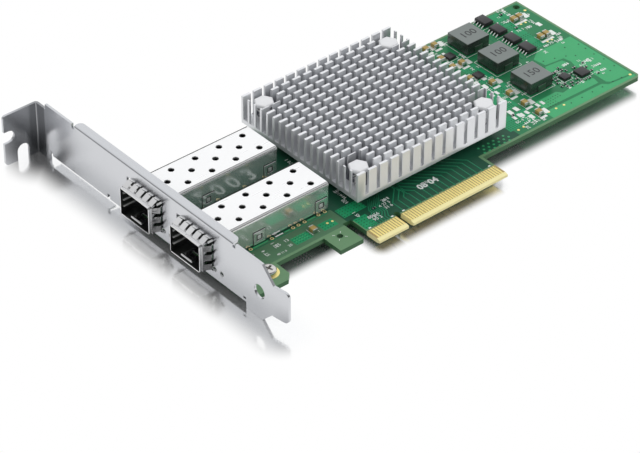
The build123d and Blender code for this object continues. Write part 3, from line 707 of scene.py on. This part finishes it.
scatter = [
    (101.2, 66.8), (97.4, 61.6), (100.6, 64.4), (103.9, 55.6), (100.9, 54.6), (104.9, 60.4), (103.0, 42.9),
    (104.8, 45.6), (97.0, 43.2), (94.3, 31.3), (86.6, 20.9), (92.0, 20.4), (100.2, 28.6), (102.4, 27.6),
    (101.4, 21.4), (102.2, 24.6), (65.4, 14.2), (62.2, 15.6), (63.8, 18.6), (62.2, 32.2), (72.4, 27.8),
    (71.8, 34.2), (66.2, 36.2), (64.0, 40.6), (72.8, 55.6), (61.6, 56.4), (61.2, 64.8), (73.0, 65.6), (86.2, 66.6),
    (86.4, 51.4), (86.2, 38.8), (60.4, 28.6), (58.2, 34.0), (58.6, 41.6), (58.8, 47.6), (58.2, 53.2),
    (-6.8, 22.6), (-7.2, 26.8), (-7.0, 31.4), (-9.4, 36.2), (-50.2, 17.6), (-52.4, 16.4), (-54.6, 18.8),
]
dash = {"pitch": 0.75, "beside": 0.55, "length": 0.5, "widths": (0.5, 0.8)}
for x, y in scatter:
    turn = draw.choice((0, 90))
    for mark in range(draw.choice((2, 3, 3))):
        shift = mark * dash["pitch"]
        across, up = (0, shift) if turn else (shift, 0)
        bars.append((x + across, y + up, dash["length"], draw.choice(dash["widths"]), turn))
        across, up = (dash["beside"], shift) if turn else (shift, dash["beside"])
        bars.append((x + across, y + up, line, dash["length"], turn))
finishPiece(layBars("legendBars", bars, board["ink"]), "silk", "solder_mask")

# landings beside the capacitors, single ones and pairs
landings = []
for x, y in capacitors[:-1]:
    landings += [(x + 2.5, y - 0.2, 1.8, 2.8, 0), (x - 0.2, y - 2.4, 2.8, 1.0, 0)]
for x, y in ((65.3, 23.4), (66.2, 17.2), (65.2, 30.4), (66.4, 38.9), (62.6, 23.2), (69.2, 42.6), (104.8, 54.0)):
    landings.append((x, y, 1.5, 2.2, 0))
for x, y in ((61.6, 20.2), (64.6, 19.9), (62.0, 28.0), (64.8, 33.9), (72.0, 20.6), (66.8, 60.8), (58.4, 50.4)):
    landings += [(x, y, 1.1, 1.9, 0), (x + 2.1, y, 1.1, 1.9, 0)]
finishPiece(layBars("landings", landings, board["pad"], 0.05), "landing", "tin_plating")

smallNumbers = [
    # number, x, y, size, turn
    ("201", 2.1, 14.2, 1.7, 0), ("44", -6.6, 10.2, 2.0, 0), ("102", -7.6, 21.4, 1.6, 90), ("31", 101.4, 64.6, 1.3, 0),
    ("12", 97.4, 65.4, 1.3, 0), ("13", 104.2, 54.4, 1.3, 0), ("56", 103.2, 41.0, 1.3, 0), ("7", 86.4, 32.2, 1.3, 0),
    ("22", 99.6, 30.2, 1.3, 0), ("61", 100.8, 20.0, 1.3, 0), ("18", 64.6, 62.6, 1.3, 0), ("19", 66.9, 62.6, 1.3, 0),
    ("71", 66.6, 34.8, 1.3, 0), ("72", 66.2, 27.4, 1.3, 0), ("73", 66.4, 19.8, 1.3, 0), ("5 10", 67.6, 14.3, 1.5, 0),
    ("80 16", -6.0, 10.4, 1.9, 0), ("4 27 5", 0.4, 12.6, 1.7, 0), ("31 6", 0.6, 10.9, 1.7, 0),
    ("90 2", -5.8, 8.6, 1.9, 0), ("40", 62.0, 52.6, 1.3, 90), ("105", -37.6, 17.6, 1.8, 0),
    ("20", -34.4, 15.2, 1.4, 0), ("1", -43.0, 16.6, 1.8, 0), ("48 11 0", -38.6, 14.0, 1.2, 0),
    ("6", 21.0, 12.2, 1.2, 0), ("3", 72.6, 24.4, 1.3, 90), ("9", 84.4, 66.4, 1.3, 0),
]
labelSpots = [
    (101.2, 66.8), (97.4, 62.1), (100.6, 68.2), (97.7, 55.4), (103.9, 57.2), (100.9, 54.8), (104.1, 62.4),
    (103.0, 42.7), (104.6, 43.9), (100.8, 43.4), (95.0, 41.4), (94.3, 31.3), (90.0, 29.7), (86.6, 24.7), (91.3, 21.2),
    (99.1, 27.8), (102.8, 28.3), (100.2, 21.6), (101.3, 24.9), (68.2, 14.6), (61.3, 14.4), (64.3, 15.0), (61.6, 17.8),
    (65.7, 22.8), (65.5, 17.4), (72.4, 32.5), (65.1, 37.6), (66.6, 30.2), (71.7, 38.2), (70.8, 41.1), (70.2, 49.4),
    (72.7, 56.2), (67.3, 55.6), (72.9, 64.8), (73.3, 48.4), (65.7, 42.3), (-7.9, 21.2), (2.1, 14.2), (-5.4, 9.9),
    (16.6, 12.7), (-37.9, 18.2), (-33.9, 17.7), (-42.4, 16.9), (-9.5, 14.1), (-7.6, 47.9), (-6.6, 25.4),
]
labelSize = 1.75
for x, y in labelSpots:
    words = str(draw.randrange(10, 99)) + draw.choice(("", " 4", "0", " 1"))
    smallNumbers.append((words, x, y, labelSize, draw.choice((0, 0, 90))))
largeNumbers = [("2 0", -36.6, 40.9, 8.2, 0), ("0 3", -24.4, 40.9, 8.2, 0)]
tongueNumbers = [("08 04", 17.4, 12.0, 3.4, 0)]
for name, numbers, weight, material in (
    ("legendNumbers", smallNumbers, 0, "silk"), ("legendLarge", largeNumbers, 0, "dimSilk"),
    ("legendTongue", tongueNumbers, 0.12, "silk"),
):
    finishPiece(layNumbers(name, numbers, weight=weight), material, "solder_mask")

# Contacts: those of the component side, and the same row on the solder side
contacts = copyNode("edge_contacts", "edgeContacts")
finishPiece(bevelEdges(contacts, 0.02, 1), "gold", "gold_plating", "edge_contacts")
under = addObject("solderSideContacts", contacts.data.copy())
under.data.transform(Matrix.Diagonal((1, 1, -1, 1)))
under.data.transform(Matrix.Translation((0, 0, board["bottom"] * mm)))
finishPiece(turnOutwards(under), "gold", "gold_plating")

# Solder side: vias, pads round the pins, solder on the cage legs
chipGrid = {"x": 11.0, "y": 31.3, "pitch": 1.6, "count": 15}
backGrid = [
    (chipGrid["x"] + across * chipGrid["pitch"], chipGrid["y"] + up * chipGrid["pitch"], via["chip"])
    for across in range(chipGrid["count"]) for up in range(chipGrid["count"])
]
backGrid += [(x, y, via["under"]) for x, y in gridPlaces]
backVias = layDots("solderSideVias", backGrid, 8, board["bottom"] - 0.01, -0.05)
finishPiece(backVias, "tin", "tin_plating")
backTracks = []
for lane in range(16):
    start, end = 3.0 + lane * 2.2, 13.0 + lane * 1.2
    backTracks.append([(start, fan["root"]), (start, 9.0 + 0.3 * (lane % 4)), (end, 20.0), (end, 30.6)])
for lane in range(8):
    low, high = lane * 0.8, lane * 0.9
    backTracks.append([(-40.0, 30.0 + low), (-12.0, 30.0 + low), (2.0, 38.0 + low), (10.4, 38.0 + low)])
    backTracks.append([(34.2, 46.0 + high), (56.0, 46.0 + high), (64.0, 40.0 + high), (96.0, 40.0 + high)])
lowTracks = layTracks("solderSideTracks", backTracks, 0.24, board["bottom"] - board["trace"])
finishPiece(lowTracks, "trace", "solder_mask")
backPours = {
    "powerPour": [(60, 13), (107, 13), (107, 38), (66, 38), (60, 32)],
    "farPour": [(66, 50), (106, 50), (106, 67.8), (56, 67.8), (56, 58)],
    "hookPour": oblong(-12, 14, -3, 28),
}
layPours("solderSidePours", backPours, board["bottom"] - board["copper"], board["bottom"] - board["sunk"], "pour")

leg = {"first": -52.23, "pitch": 17.6, "half": 6.85, "rows": (52.95, 28.9), "pad": 1.3}
solder = {"wide": 0.95, "narrow": 0.5, "height": 0.5, "level": -0.24}
legPlaces = [
    (leg["first"] + step * leg["pitch"], row + side * leg["half"])
    for row in leg["rows"] for side in (-1, 1) for step in range(3)
]
startClean()
bpy.ops.mesh.primitive_cone_add(
    vertices=16, radius1=solder["wide"] * mm, radius2=solder["narrow"] * mm, depth=solder["height"] * mm
)
fillet = bevelEdges(bpy.context.active_object, 0.12)
upsideDown = Matrix.Rotation(pi, 4, "X")
legSolder = spread(fillet, "legSolder", [
    at(x, y, board["bottom"] + solder["level"]) @ upsideDown for x, y in legPlaces
])
finishPiece(smoothByAngle(legSolder), "tin", "tin_plating")
backSeats = [(x, y, leg["pad"]) for x, y in legPlaces]
finishPiece(layRings("legPads", backSeats, board["bottom"], 0.1, 0.25), "gold", "gold_plating")


print("bracket and screws")
bracket = copyNode("bracket", "slotBracket")
fold = {
    "face": -59.41, "top": 15.6, "low": 11.0, "high": 87.8, "radius": 0.95, "tab": 105, "tabRadius": 0.5,
    "upright": 5, "slack": 0.02,
}


def edgeEnds(edge):
    return [bracket.data.vertices[index].co / mm for index in edge.vertices]


def near(value, place):
    return abs(value - place) < fold["slack"]


def alongFlange(edge):
    return all(
        near(end.x, fold["face"]) and near(end.z, fold["top"]) and fold["low"] < end.y < fold["high"]
        for end in edgeEnds(edge)
    )


def atTabFold(edge):
    first, second = edgeEnds(edge)
    upright = abs(first.z - second.z) > fold["upright"] and near(first.x, second.x) and near(first.y, second.y)
    return upright and near(first.x, fold["face"]) and first.y > fold["tab"]


roundChosen(bracket, "edges", alongFlange, fold["radius"], 4)
roundChosen(bracket, "edges", atTabFold, fold["tabRadius"], 3)
bevelEdges(bracket, 0.14)
finishPiece(evenNormals(smoothByAngle(bracket)), "bracket", "bracket_steel", "bracket")

screw = {
    "radius": 2.5, "height": 1.6, "round": 0.6, "recess": 0.75, "arm": 1.5, "depth": 0.9, "shank": 1.2,
    "length": 3.13, "turn": 20,
}
head = tube(40, screw["radius"], screw["height"], (0, 0, screw["height"] / 2))
roundChosen(head, "polygons", facesUp, screw["round"], 4)
recess = {"low": screw["height"] - screw["depth"], "high": 3, "half": screw["recess"] / 2}
for across, up in ((screw["arm"], recess["half"]), (recess["half"], screw["arm"])):
    cutOut(head, block("cross", (-across, -up, recess["low"]), (across, up, recess["high"])))
shank = bevelEdges(tube(20, screw["shank"], screw["length"], (0, 0, -screw["length"] / 2)), 0.2)
screwPlaces = [at(x, y, 0, screw["turn"]) for x, y in screwSeat["places"]]
screws = spread(joinAll([head, shank], "screwShape"), "panHeadScrews", screwPlaces)
finishPiece(smoothByAngle(screws, 30), "screw", "screw_steel", "bracket_screws")


print("module cages")
cage = {"front": -63.23, "half": 7.0, "top": 9.78, "rows": (52.95, 28.9), "mouth": 1.2, "wall": 0.2}
vent = {
    "first": -50.63, "pitch": 9.2, "rowPitch": 4.08, "perRow": 4, "radius": 1.1, "fit": 1.04, "depth": 0.5,
    "drop": 0.27, "rim": 0.1,
}
latch = {"tip": 3.4, "hole": 1.9, "round": 0.36}


def bothSides(inner, outer):
    return (-outer, -inner), (inner, outer)


# strips on and in a cage: x from its front, y from its middle, z
lidLip = [((5.2, 49.22), across, (8.62, 9.26)) for across in bothSides(6.95, 7.16)]
lidLip.append(((49.15, 49.36), (-6.5, 6.5), (7.6, 9.05)))
# Dark strips: three lines along the lid's edges. The rest is painted shade: plates behind the catch windows and under
# the collar fingers, which show through the gaps.
darkLinesAndPaintedShade = [
    ((5.2, 49.0), (-6.62, -6.48), (9.74, 9.81)), ((5.2, 49.0), (-7.03, -6.9), (9.3, 9.42)),
    ((5.2, 49.0), (6.86, 7.02), (9.6, 9.8)),
]
catches = (22.4, 46.4)
for across in bothSides(6.98, 7.03):
    darkLinesAndPaintedShade += [((x - 2.45, x + 2.45), across, (0.14, 4.9)) for x in catches]
    darkLinesAndPaintedShade.append(((1.3, 5.7), across, (0.7, 9.2)))
darkLinesAndPaintedShade.append(((1.3, 5.7), (-6.6, 6.6), (9.74, 9.81)))
catchLeaves = [((x - 0.7, x + 0.7), across, (1.75, 3.15)) for across in bothSides(6.99, 7.2) for x in catches]
guides = [((0.9, 0.9 + reach), (6.35, 6.72), (z, z + 0.55)) for z, reach in ((2.3, 7.5), (4.6, 5.5), (7.0, 4.5))]
guides += [((8.2, 17.0), across, (0.35, 0.75)) for across in ((-1.6, -0.4), (2.4, 3.4))]
pinRow = [
    ((38.83, 43.83), (-3.77 + step * 0.8, -3.43 + step * 0.8), (z, z + 0.1)) for step in range(10)
    for z in (3.02, 4.28)
]
cageTrim = [
    # name, strips, bevel and its steps, smoothing angle, finish, slot
    ("catchLeaves", catchLeaves, 0.12, 2, 35, "leaf", "cage_metal"),
    ("cageGuides", guides, 0.12, 2, 35, "leaf", "cage_metal"),
    ("cageDarkLinesAndPaintedShade", darkLinesAndPaintedShade, 0.02, 1, None, "dark", "cage_metal"),
    ("cageLid", lidLip, 0.05, 2, 30, "cage", "cage_metal"),
    ("socketContacts", pinRow, 0.03, 1, None, "gold", "gold_plating"),
]


def layStrips(name, row, strips):
    return joinAll([
        block(name, (cage["front"] + x[0], row + y[0], z[0]), (cage["front"] + x[1], row + y[1], z[1]))
        for x, y, z in strips
    ], name)


def ventRims(name, row):
    middle = (0, 0, cage["top"] - vent["drop"])
    rim = tube(20, vent["radius"] * vent["fit"], vent["depth"], middle, end_fill_type="NOTHING")
    places = []
    for line in (-1, 0, 1):
        shift = vent["pitch"] / 2 if line else 0
        for step in range(vent["perRow"]):
            places.append(at(vent["first"] + shift + step * vent["pitch"], row + line * vent["rowPitch"]))
    return spread(turnOutwards(thicken(rim, vent["rim"], 1)), name, places)


def shadeOf(face, row):
    middle = face.center / mm
    towards = Vector((0, row - middle.y, cage["top"] / 2 - middle.z))
    deep = middle.x > cage["front"] + cage["mouth"] and abs(middle.y - row) < cage["half"] - cage["wall"]
    deep = deep and cage["wall"] < middle.z < cage["top"] - cage["wall"]
    # Painted shade: faces deep inside the port, facing its middle or backwards, take a dark copy of the cage metal.
    if deep and (face.normal.dot(towards) > 0 or face.normal.x < -0.5):
        return "cageInside"
    return "cageSide" if abs(face.normal.y) > 0.7 else "cage"


for index, row in enumerate(cage["rows"], start=1):
    shell = copyNode(f"module_cage_{index}", f"moduleCage{index}")
    bevelEdges(shell, 0.2, 3, 44)
    shades = ["cage", "cageInside", "cageSide"]
    finishPiece(evenNormals(smoothByAngle(shell, 50)), shades, "cage_metal", f"module_cage_{index}")
    for face in shell.data.polygons:
        face.material_index = shades.index(shadeOf(face, row))
    finishPiece(smoothByAngle(ventRims(f"ventRims{index}", row)), "leaf", "cage_metal")
    for name, strips, width, steps, angle, material, slotName in cageTrim:
        trim = bevelEdges(layStrips(f"{name}{index}", row, strips), width, steps)
        if angle:
            smoothByAngle(trim, angle)
        finishPiece(trim, material, slotName)
    finishCopy(f"spring_collar_{index}", f"springCollar{index}", 0.05, 2, "spring", "spring_metal", 30)
    finishCopy(f"port_socket_{index}", f"portSocket{index}", 0.12, 2, "black", "black_moulding")
    tongue = layStrips("tongue", row, [((0.5, 8.0), (-2.6, 2.6), (0.95, 1.15))])
    cutOut(tongue, tube(3, latch["hole"], 2, (cage["front"] + latch["tip"], row, 1), rotation=(0, 0, pi / 2)))
    lipBar = layStrips("lipBar", row, [((0.35, 1.15), (-2.6, 2.6), (0.8, 1.6))])
    bevelEdges(lipBar, latch["round"], 4)
    tongue = joinAll([bevelEdges(tongue, 0.04, 1), lipBar], f"latchTongue{index}")
    finishPiece(smoothByAngle(tongue, 50), "spring", "spring_metal")

lightHoles = {"rows": (43.75, 40.45, 19.7, 16.4), "level": 1.0, "radius": 0.86, "rim": 0.09}
rims = spread(ring(lightHoles["radius"], lightHoles["rim"], rotation=(0, pi / 2, 0)), "lightHoleRims", [
    at(fold["face"], y, lightHoles["level"]) for y in lightHoles["rows"]
])
finishPiece(smoothByAngle(rims, 60), "leaf", "bracket_steel")
finishCopy("status_lights", "statusLights", 0.1, 2, "light", "light_body")


print("heat sink and push pins")
finishCopy("heat_sink", "pinFinHeatSink", 0.07, 1, "sink", "heat_sink_aluminium", 20)
finishCopy("push_pins", "pushPins", 0.12, 3, "nylon", "white_nylon")

coil = {"radius": 2.1, "wire": 0.25, "turns": 2, "low": 5.15, "high": 10.35, "steps": 48}
startClean()
bpy.ops.mesh.primitive_circle_add(
    vertices=10, radius=coil["wire"] * mm, location=(coil["radius"] * mm, 0, coil["low"] * mm),
    rotation=(pi / 2, 0, 0),
)
wire = modify(
    settle(bpy.context.active_object), "SCREW", axis="Z", angle=2 * pi * coil["turns"],
    screw_offset=(coil["high"] - coil["low"]) * mm, steps=coil["steps"], render_steps=coil["steps"],
)
startEdit(wire)
bpy.ops.mesh.remove_doubles(threshold=0.001 * mm)
bpy.ops.mesh.fill_holes(sides=0)
endEdit()
pinPlaces = [(-3.45, 20.3), (-3.45, 64.7), (47.85, 20.3), (47.85, 64.7)]
coils = spread(wire, "pushPinSprings", [at(x, y) for x, y in pinPlaces])
finishPiece(smoothByAngle(turnOutwards(coils), 60), "spring", "spring_metal", "push_pin_springs")


print("parts of the power section")
inductor = {"x": 78.6, "rows": (60.0, 45.8, 30.4), "marks": ("100", "100", "150"), "top": 4.5, "rim": 0.45}
coilMarks = []
for index, (row, value) in enumerate(zip(inductor["rows"], inductor["marks"]), start=1):
    low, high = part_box(f"power_inductor_{index}")
    body = block(f"powerInductor{index}", low / mm, high / mm)
    insetTop(body, inductor["rim"], -0.02)
    bevelEdges(body, 0.16, 3)
    finishPiece(smoothByAngle(body), ["ferrite", "ferriteSide"], "ferrite", f"power_inductor_{index}")
    # Painted shade: faces that do not face up take the darker copy of the ferrite.
    for face in body.data.polygons:
        face.material_index = 0 if face.normal.z > 0.5 else 1
    coilMarks.append((value, inductor["x"], row, 4.2, 0))
finishPiece(layNumbers("inductorMarks", coilMarks, inductor["top"]), "mark", "ferrite")
finishCopy("inductor_terminals", "inductorTerminals", 0.06, 2, "terminal", "tin_plating")

chips = [f"power_chip_{index}" for index in range(1, 5)]
chips += ["regulator_chip_1", "regulator_chip_2", "sequencer_chip", "monitor_chip"]
pinOne = {"inset": 0.75, "radius": 0.22, "hole": 0.5}
pinOnes = []
for index, node in enumerate(chips):
    low, high = [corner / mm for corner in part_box(node)]
    words = node.split("_")
    name = words[0] + "".join(word.capitalize() for word in words[1:])
    finishCopy(node, name, 0.07, 2, "black", "black_moulding")
    spot = (low.x + pinOne["inset"], low.y + pinOne["inset"], pinOne["radius"])
    pinOnes.append(layDots(f"dot{index}", [spot], 16, high.z, hole=pinOne["hole"]))
finishPiece(joinAll(pinOnes, "chipPinOnes"), "mark", "black_moulding")
finishCopy("power_chip_leads", "powerChipLeads", 0.03, 1, "tin", "tin_plating")
finishCopy("ceramic_capacitors", "ceramicBodies", 0.06, 2, "ceramic", "ceramic")
finishCopy("capacitor_caps", "capacitorCaps", 0.1, 3, "tin", "tin_plating")

resistor = {"half": 0.6, "side": 0.35, "height": 0.45, "end": 0.24}
resistorPlaces = [
    (86.0, 29.4), (88.4, 30.0), (91.2, 29.6), (86.0, 26.4), (86.6, 23.4), (89.0, 22.6), (91.6, 23.0), (92.2, 26.4),
    (95.4, 28.2), (98.6, 26.0), (98.6, 23.4), (95.2, 20.8), (98.9, 66.0), (97.4, 57.0), (58.6, 61.4), (62.2, 49.4),
    (62.4, 35.4), (62.0, 21.4), (-3.6, 12.9), (-46.4, 18.4),
]
tinyPlaces = [
    (86.9, 27.8), (88.5, 28.5), (90.3, 28.4), (92.4, 28.6), (85.4, 27.6), (85.2, 25.0), (86.6, 21.9), (88.2, 21.2),
    (90.3, 21.3), (92.3, 21.7), (92.5, 24.4), (91.3, 31.3), (93.6, 20.9), (85.0, 22.9), (99.4, 21.0), (99.6, 28.4),
]


def layResistors(label, places, *replaced):
    half, side, height = resistor["half"], resistor["side"], resistor["height"]
    film = block("film", (0.2 - half, 0.01 - side, 0.02), (half - 0.2, side - 0.01, height - 0.02))
    films = bevelEdges(spread(film, f"{label}Films", places), 0.03, 1)
    finishPiece(films, "film", "resistor_film", *replaced)
    ends = joinAll([
        block("leftEnd", (-half, -side, 0), (resistor["end"] - half, side, height)),
        block("rightEnd", (half - resistor["end"], -side, 0), (half, side, height)),
    ], "ends")
    finishPiece(bevelEdges(spread(ends, f"{label}Ends", places), 0.04), "tin", "tin_plating")


layResistors("resistor", [at(x, y) for x, y in resistorPlaces], "chip_resistors")
layResistors("tiny", [at(x, y, 0, draw.choice((0, 90)), (0.75, 0.75, 0.9)) for x, y in tinyPlaces])


print("stage, lights and camera")
floor = {
    "level": -4.64, "size": 6000, "gloss": 0.84, "roughness": 0.14, "near": 3.0, "far": 26.0,
    "footprints": (
        # low corner, high corner and how fast the mirroring fades outside them
        ((-60, -11), (-58, 106), 2.2), ((-61, 103), (-58, 107), 1.7), ((-59, 12.2), (103, 63), 4.5),
        ((-10, 2.0), (37, 15), 5.0),
    ),
}
startClean()
bpy.ops.mesh.primitive_plane_add(size=floor["size"] * mm, location=(0, 0, floor["level"] * mm))
ground = bpy.context.active_object
ground.name = "paleFloor"


def awayFrom(look, spot, low, high):
    reach = []
    for value, below, above in zip(spot, low, high):
        middle, half = (below + above) / 2, (above - below) / 2
        side = value.reckon("ABSOLUTE", value - middle)
        reach.append(side.reckon("MAXIMUM", side - half))
    offset = look.node("ShaderNodeCombineXYZ", sockets={0: reach[0], 1: reach[1]})
    return look.node("ShaderNodeVectorMath", {"operation": "LENGTH"}, {0: offset}, output=1)


def makeFloor():
    look = Look("paleFloor")
    look.tree.nodes.remove(look.shader)

    def blend(share, first, second):
        return look.node("ShaderNodeMixShader", sockets={0: share, 1: first, 2: second})

    spot = look.axes()[:2]
    nearest, *others = [awayFrom(look, spot, low, high) * pace for low, high, pace in floor["footprints"]]
    for other in others:
        nearest = nearest.reckon("MINIMUM", nearest, other)
    away = nearest.ease(floor["near"], floor["far"])
    rays = look.node("ShaderNodeLightPath")
    seen = look.output(rays, "Is Camera Ray") + look.output(rays, "Is Glossy Ray")
    white = look.node("ShaderNodeEmission", sockets={"Color": (1, 1, 1), "Strength": 1.0})
    matte = look.node("ShaderNodeBsdfDiffuse", sockets={"Color": (0.92, 0.92, 0.92)})
    gloss = look.node("ShaderNodeBsdfGlossy", sockets={"Color": (1, 1, 1), "Roughness": floor["roughness"]})
    close = blend(floor["gloss"], matte, gloss)
    whole = blend(away * seen, close, white)
    behind = look.node("ShaderNodeNewGeometry", output="Backfacing")
    oneSided = blend(behind, whole, look.node("ShaderNodeBsdfTransparent"))
    look.plug(look.tree.nodes["Material Output"].inputs["Surface"], oneSided)
    return look.material


ground.data.materials.append(makeFloor())

studio = {
    "softboxSide": (0.517, 0.607, 0.603), "dim": 0.12, "bright": 1.0, "from": -0.1, "to": 0.8,
    "low": 0.42, "high": 0.95, "horizon": -0.1, "zenith": 1.0,
}
world = bpy.data.worlds.new("studio")
bpy.context.scene.world = world
world.use_nodes = True
sky = NodeWork(world.node_tree)
sky.tree.nodes.clear()
towards = sky.node("ShaderNodeTexCoord", output="Generated")
sides = {0: towards, 1: studio["softboxSide"]}
shine = sky.node("ShaderNodeVectorMath", {"operation": "DOT_PRODUCT"}, sides, output=1)
height = sky.output(sky.node("ShaderNodeSeparateXYZ", sockets={0: towards}), "Z")
mirrored = shine.ease(studio["from"], studio["to"]) * (studio["bright"] - studio["dim"]) + studio["dim"]
soft = height.ease(studio["horizon"], studio["zenith"]) * (studio["high"] - studio["low"]) + studio["low"]
rays = sky.node("ShaderNodeLightPath")
cameraRay, glossyRay = [sky.output(rays, name) for name in ("Is Camera Ray", "Is Glossy Ray")]
strength = cameraRay + (1 - cameraRay) * (glossyRay * mirrored + (1 - glossyRay) * soft)
light = sky.node("ShaderNodeBackground", sockets={"Color": (0.985, 0.993, 1.0), "Strength": strength})
sky.node("ShaderNodeOutputWorld", sockets={"Surface": light})


def addLamp(name, place, aim, size, power):
    lamp = bpy.data.lights.new(name, "AREA")
    lamp.shape = "SQUARE"
    lamp.size = size
    lamp.energy = power
    holder = addObject(name, lamp)
    holder.location = place
    holder.visible_glossy = False
    holder.rotation_mode = "QUATERNION"
    holder.rotation_quaternion = (Vector(aim) - Vector(place)).to_track_quat("-Z", "Y")


addLamp("softbox", (0.50, 0.62, 0.62), (0.02, 0.04, 0), 0.8, 2.3)
addLamp("sideFill", (0.35, -0.7, 0.30), (0.02, 0.04, 0), 0.5, 1.6)
addLamp("leftFill", (-0.8, 0.15, 0.25), (0.0, 0.04, 0), 0.5, 0.8)

view = {
    "azimuth": 49.584, "elevation": 37.118, "roll": 0.182, "distance": 854.42, "target": (-23.793, 18.809),
    "focalPixels": 2865.8, "width": 640, "shiftPixels": (-10.116, -0.799), "sensor": 36,
}
azimuth, elevation, roll = [radians(view[key]) for key in ("azimuth", "elevation", "roll")]
ahead = Vector((cos(elevation) * cos(azimuth), cos(elevation) * sin(azimuth), -sin(elevation)))
right = Vector((sin(azimuth), -cos(azimuth), 0))
up = right.cross(ahead)
right, up = cos(roll) * right + sin(roll) * up, cos(roll) * up - sin(roll) * right
lens = bpy.data.cameras.new("photoCamera")
lens.sensor_width = view["sensor"]
lens.lens = view["focalPixels"] / view["width"] * view["sensor"]
lens.shift_x = -view["shiftPixels"][0] / view["width"]
lens.shift_y = view["shiftPixels"][1] / view["width"]
lens.clip_start = 0.01
camera = addObject("photoCamera", lens)
turned = Matrix((right, up, -ahead)).transposed().to_4x4()
target = Vector((*view["target"], 0)) * mm
camera.matrix_world = Matrix.Translation(target - ahead * view["distance"] * mm) @ turned
bpy.context.scene.camera = camera
bpy.context.scene.view_settings.view_transform = "Standard"
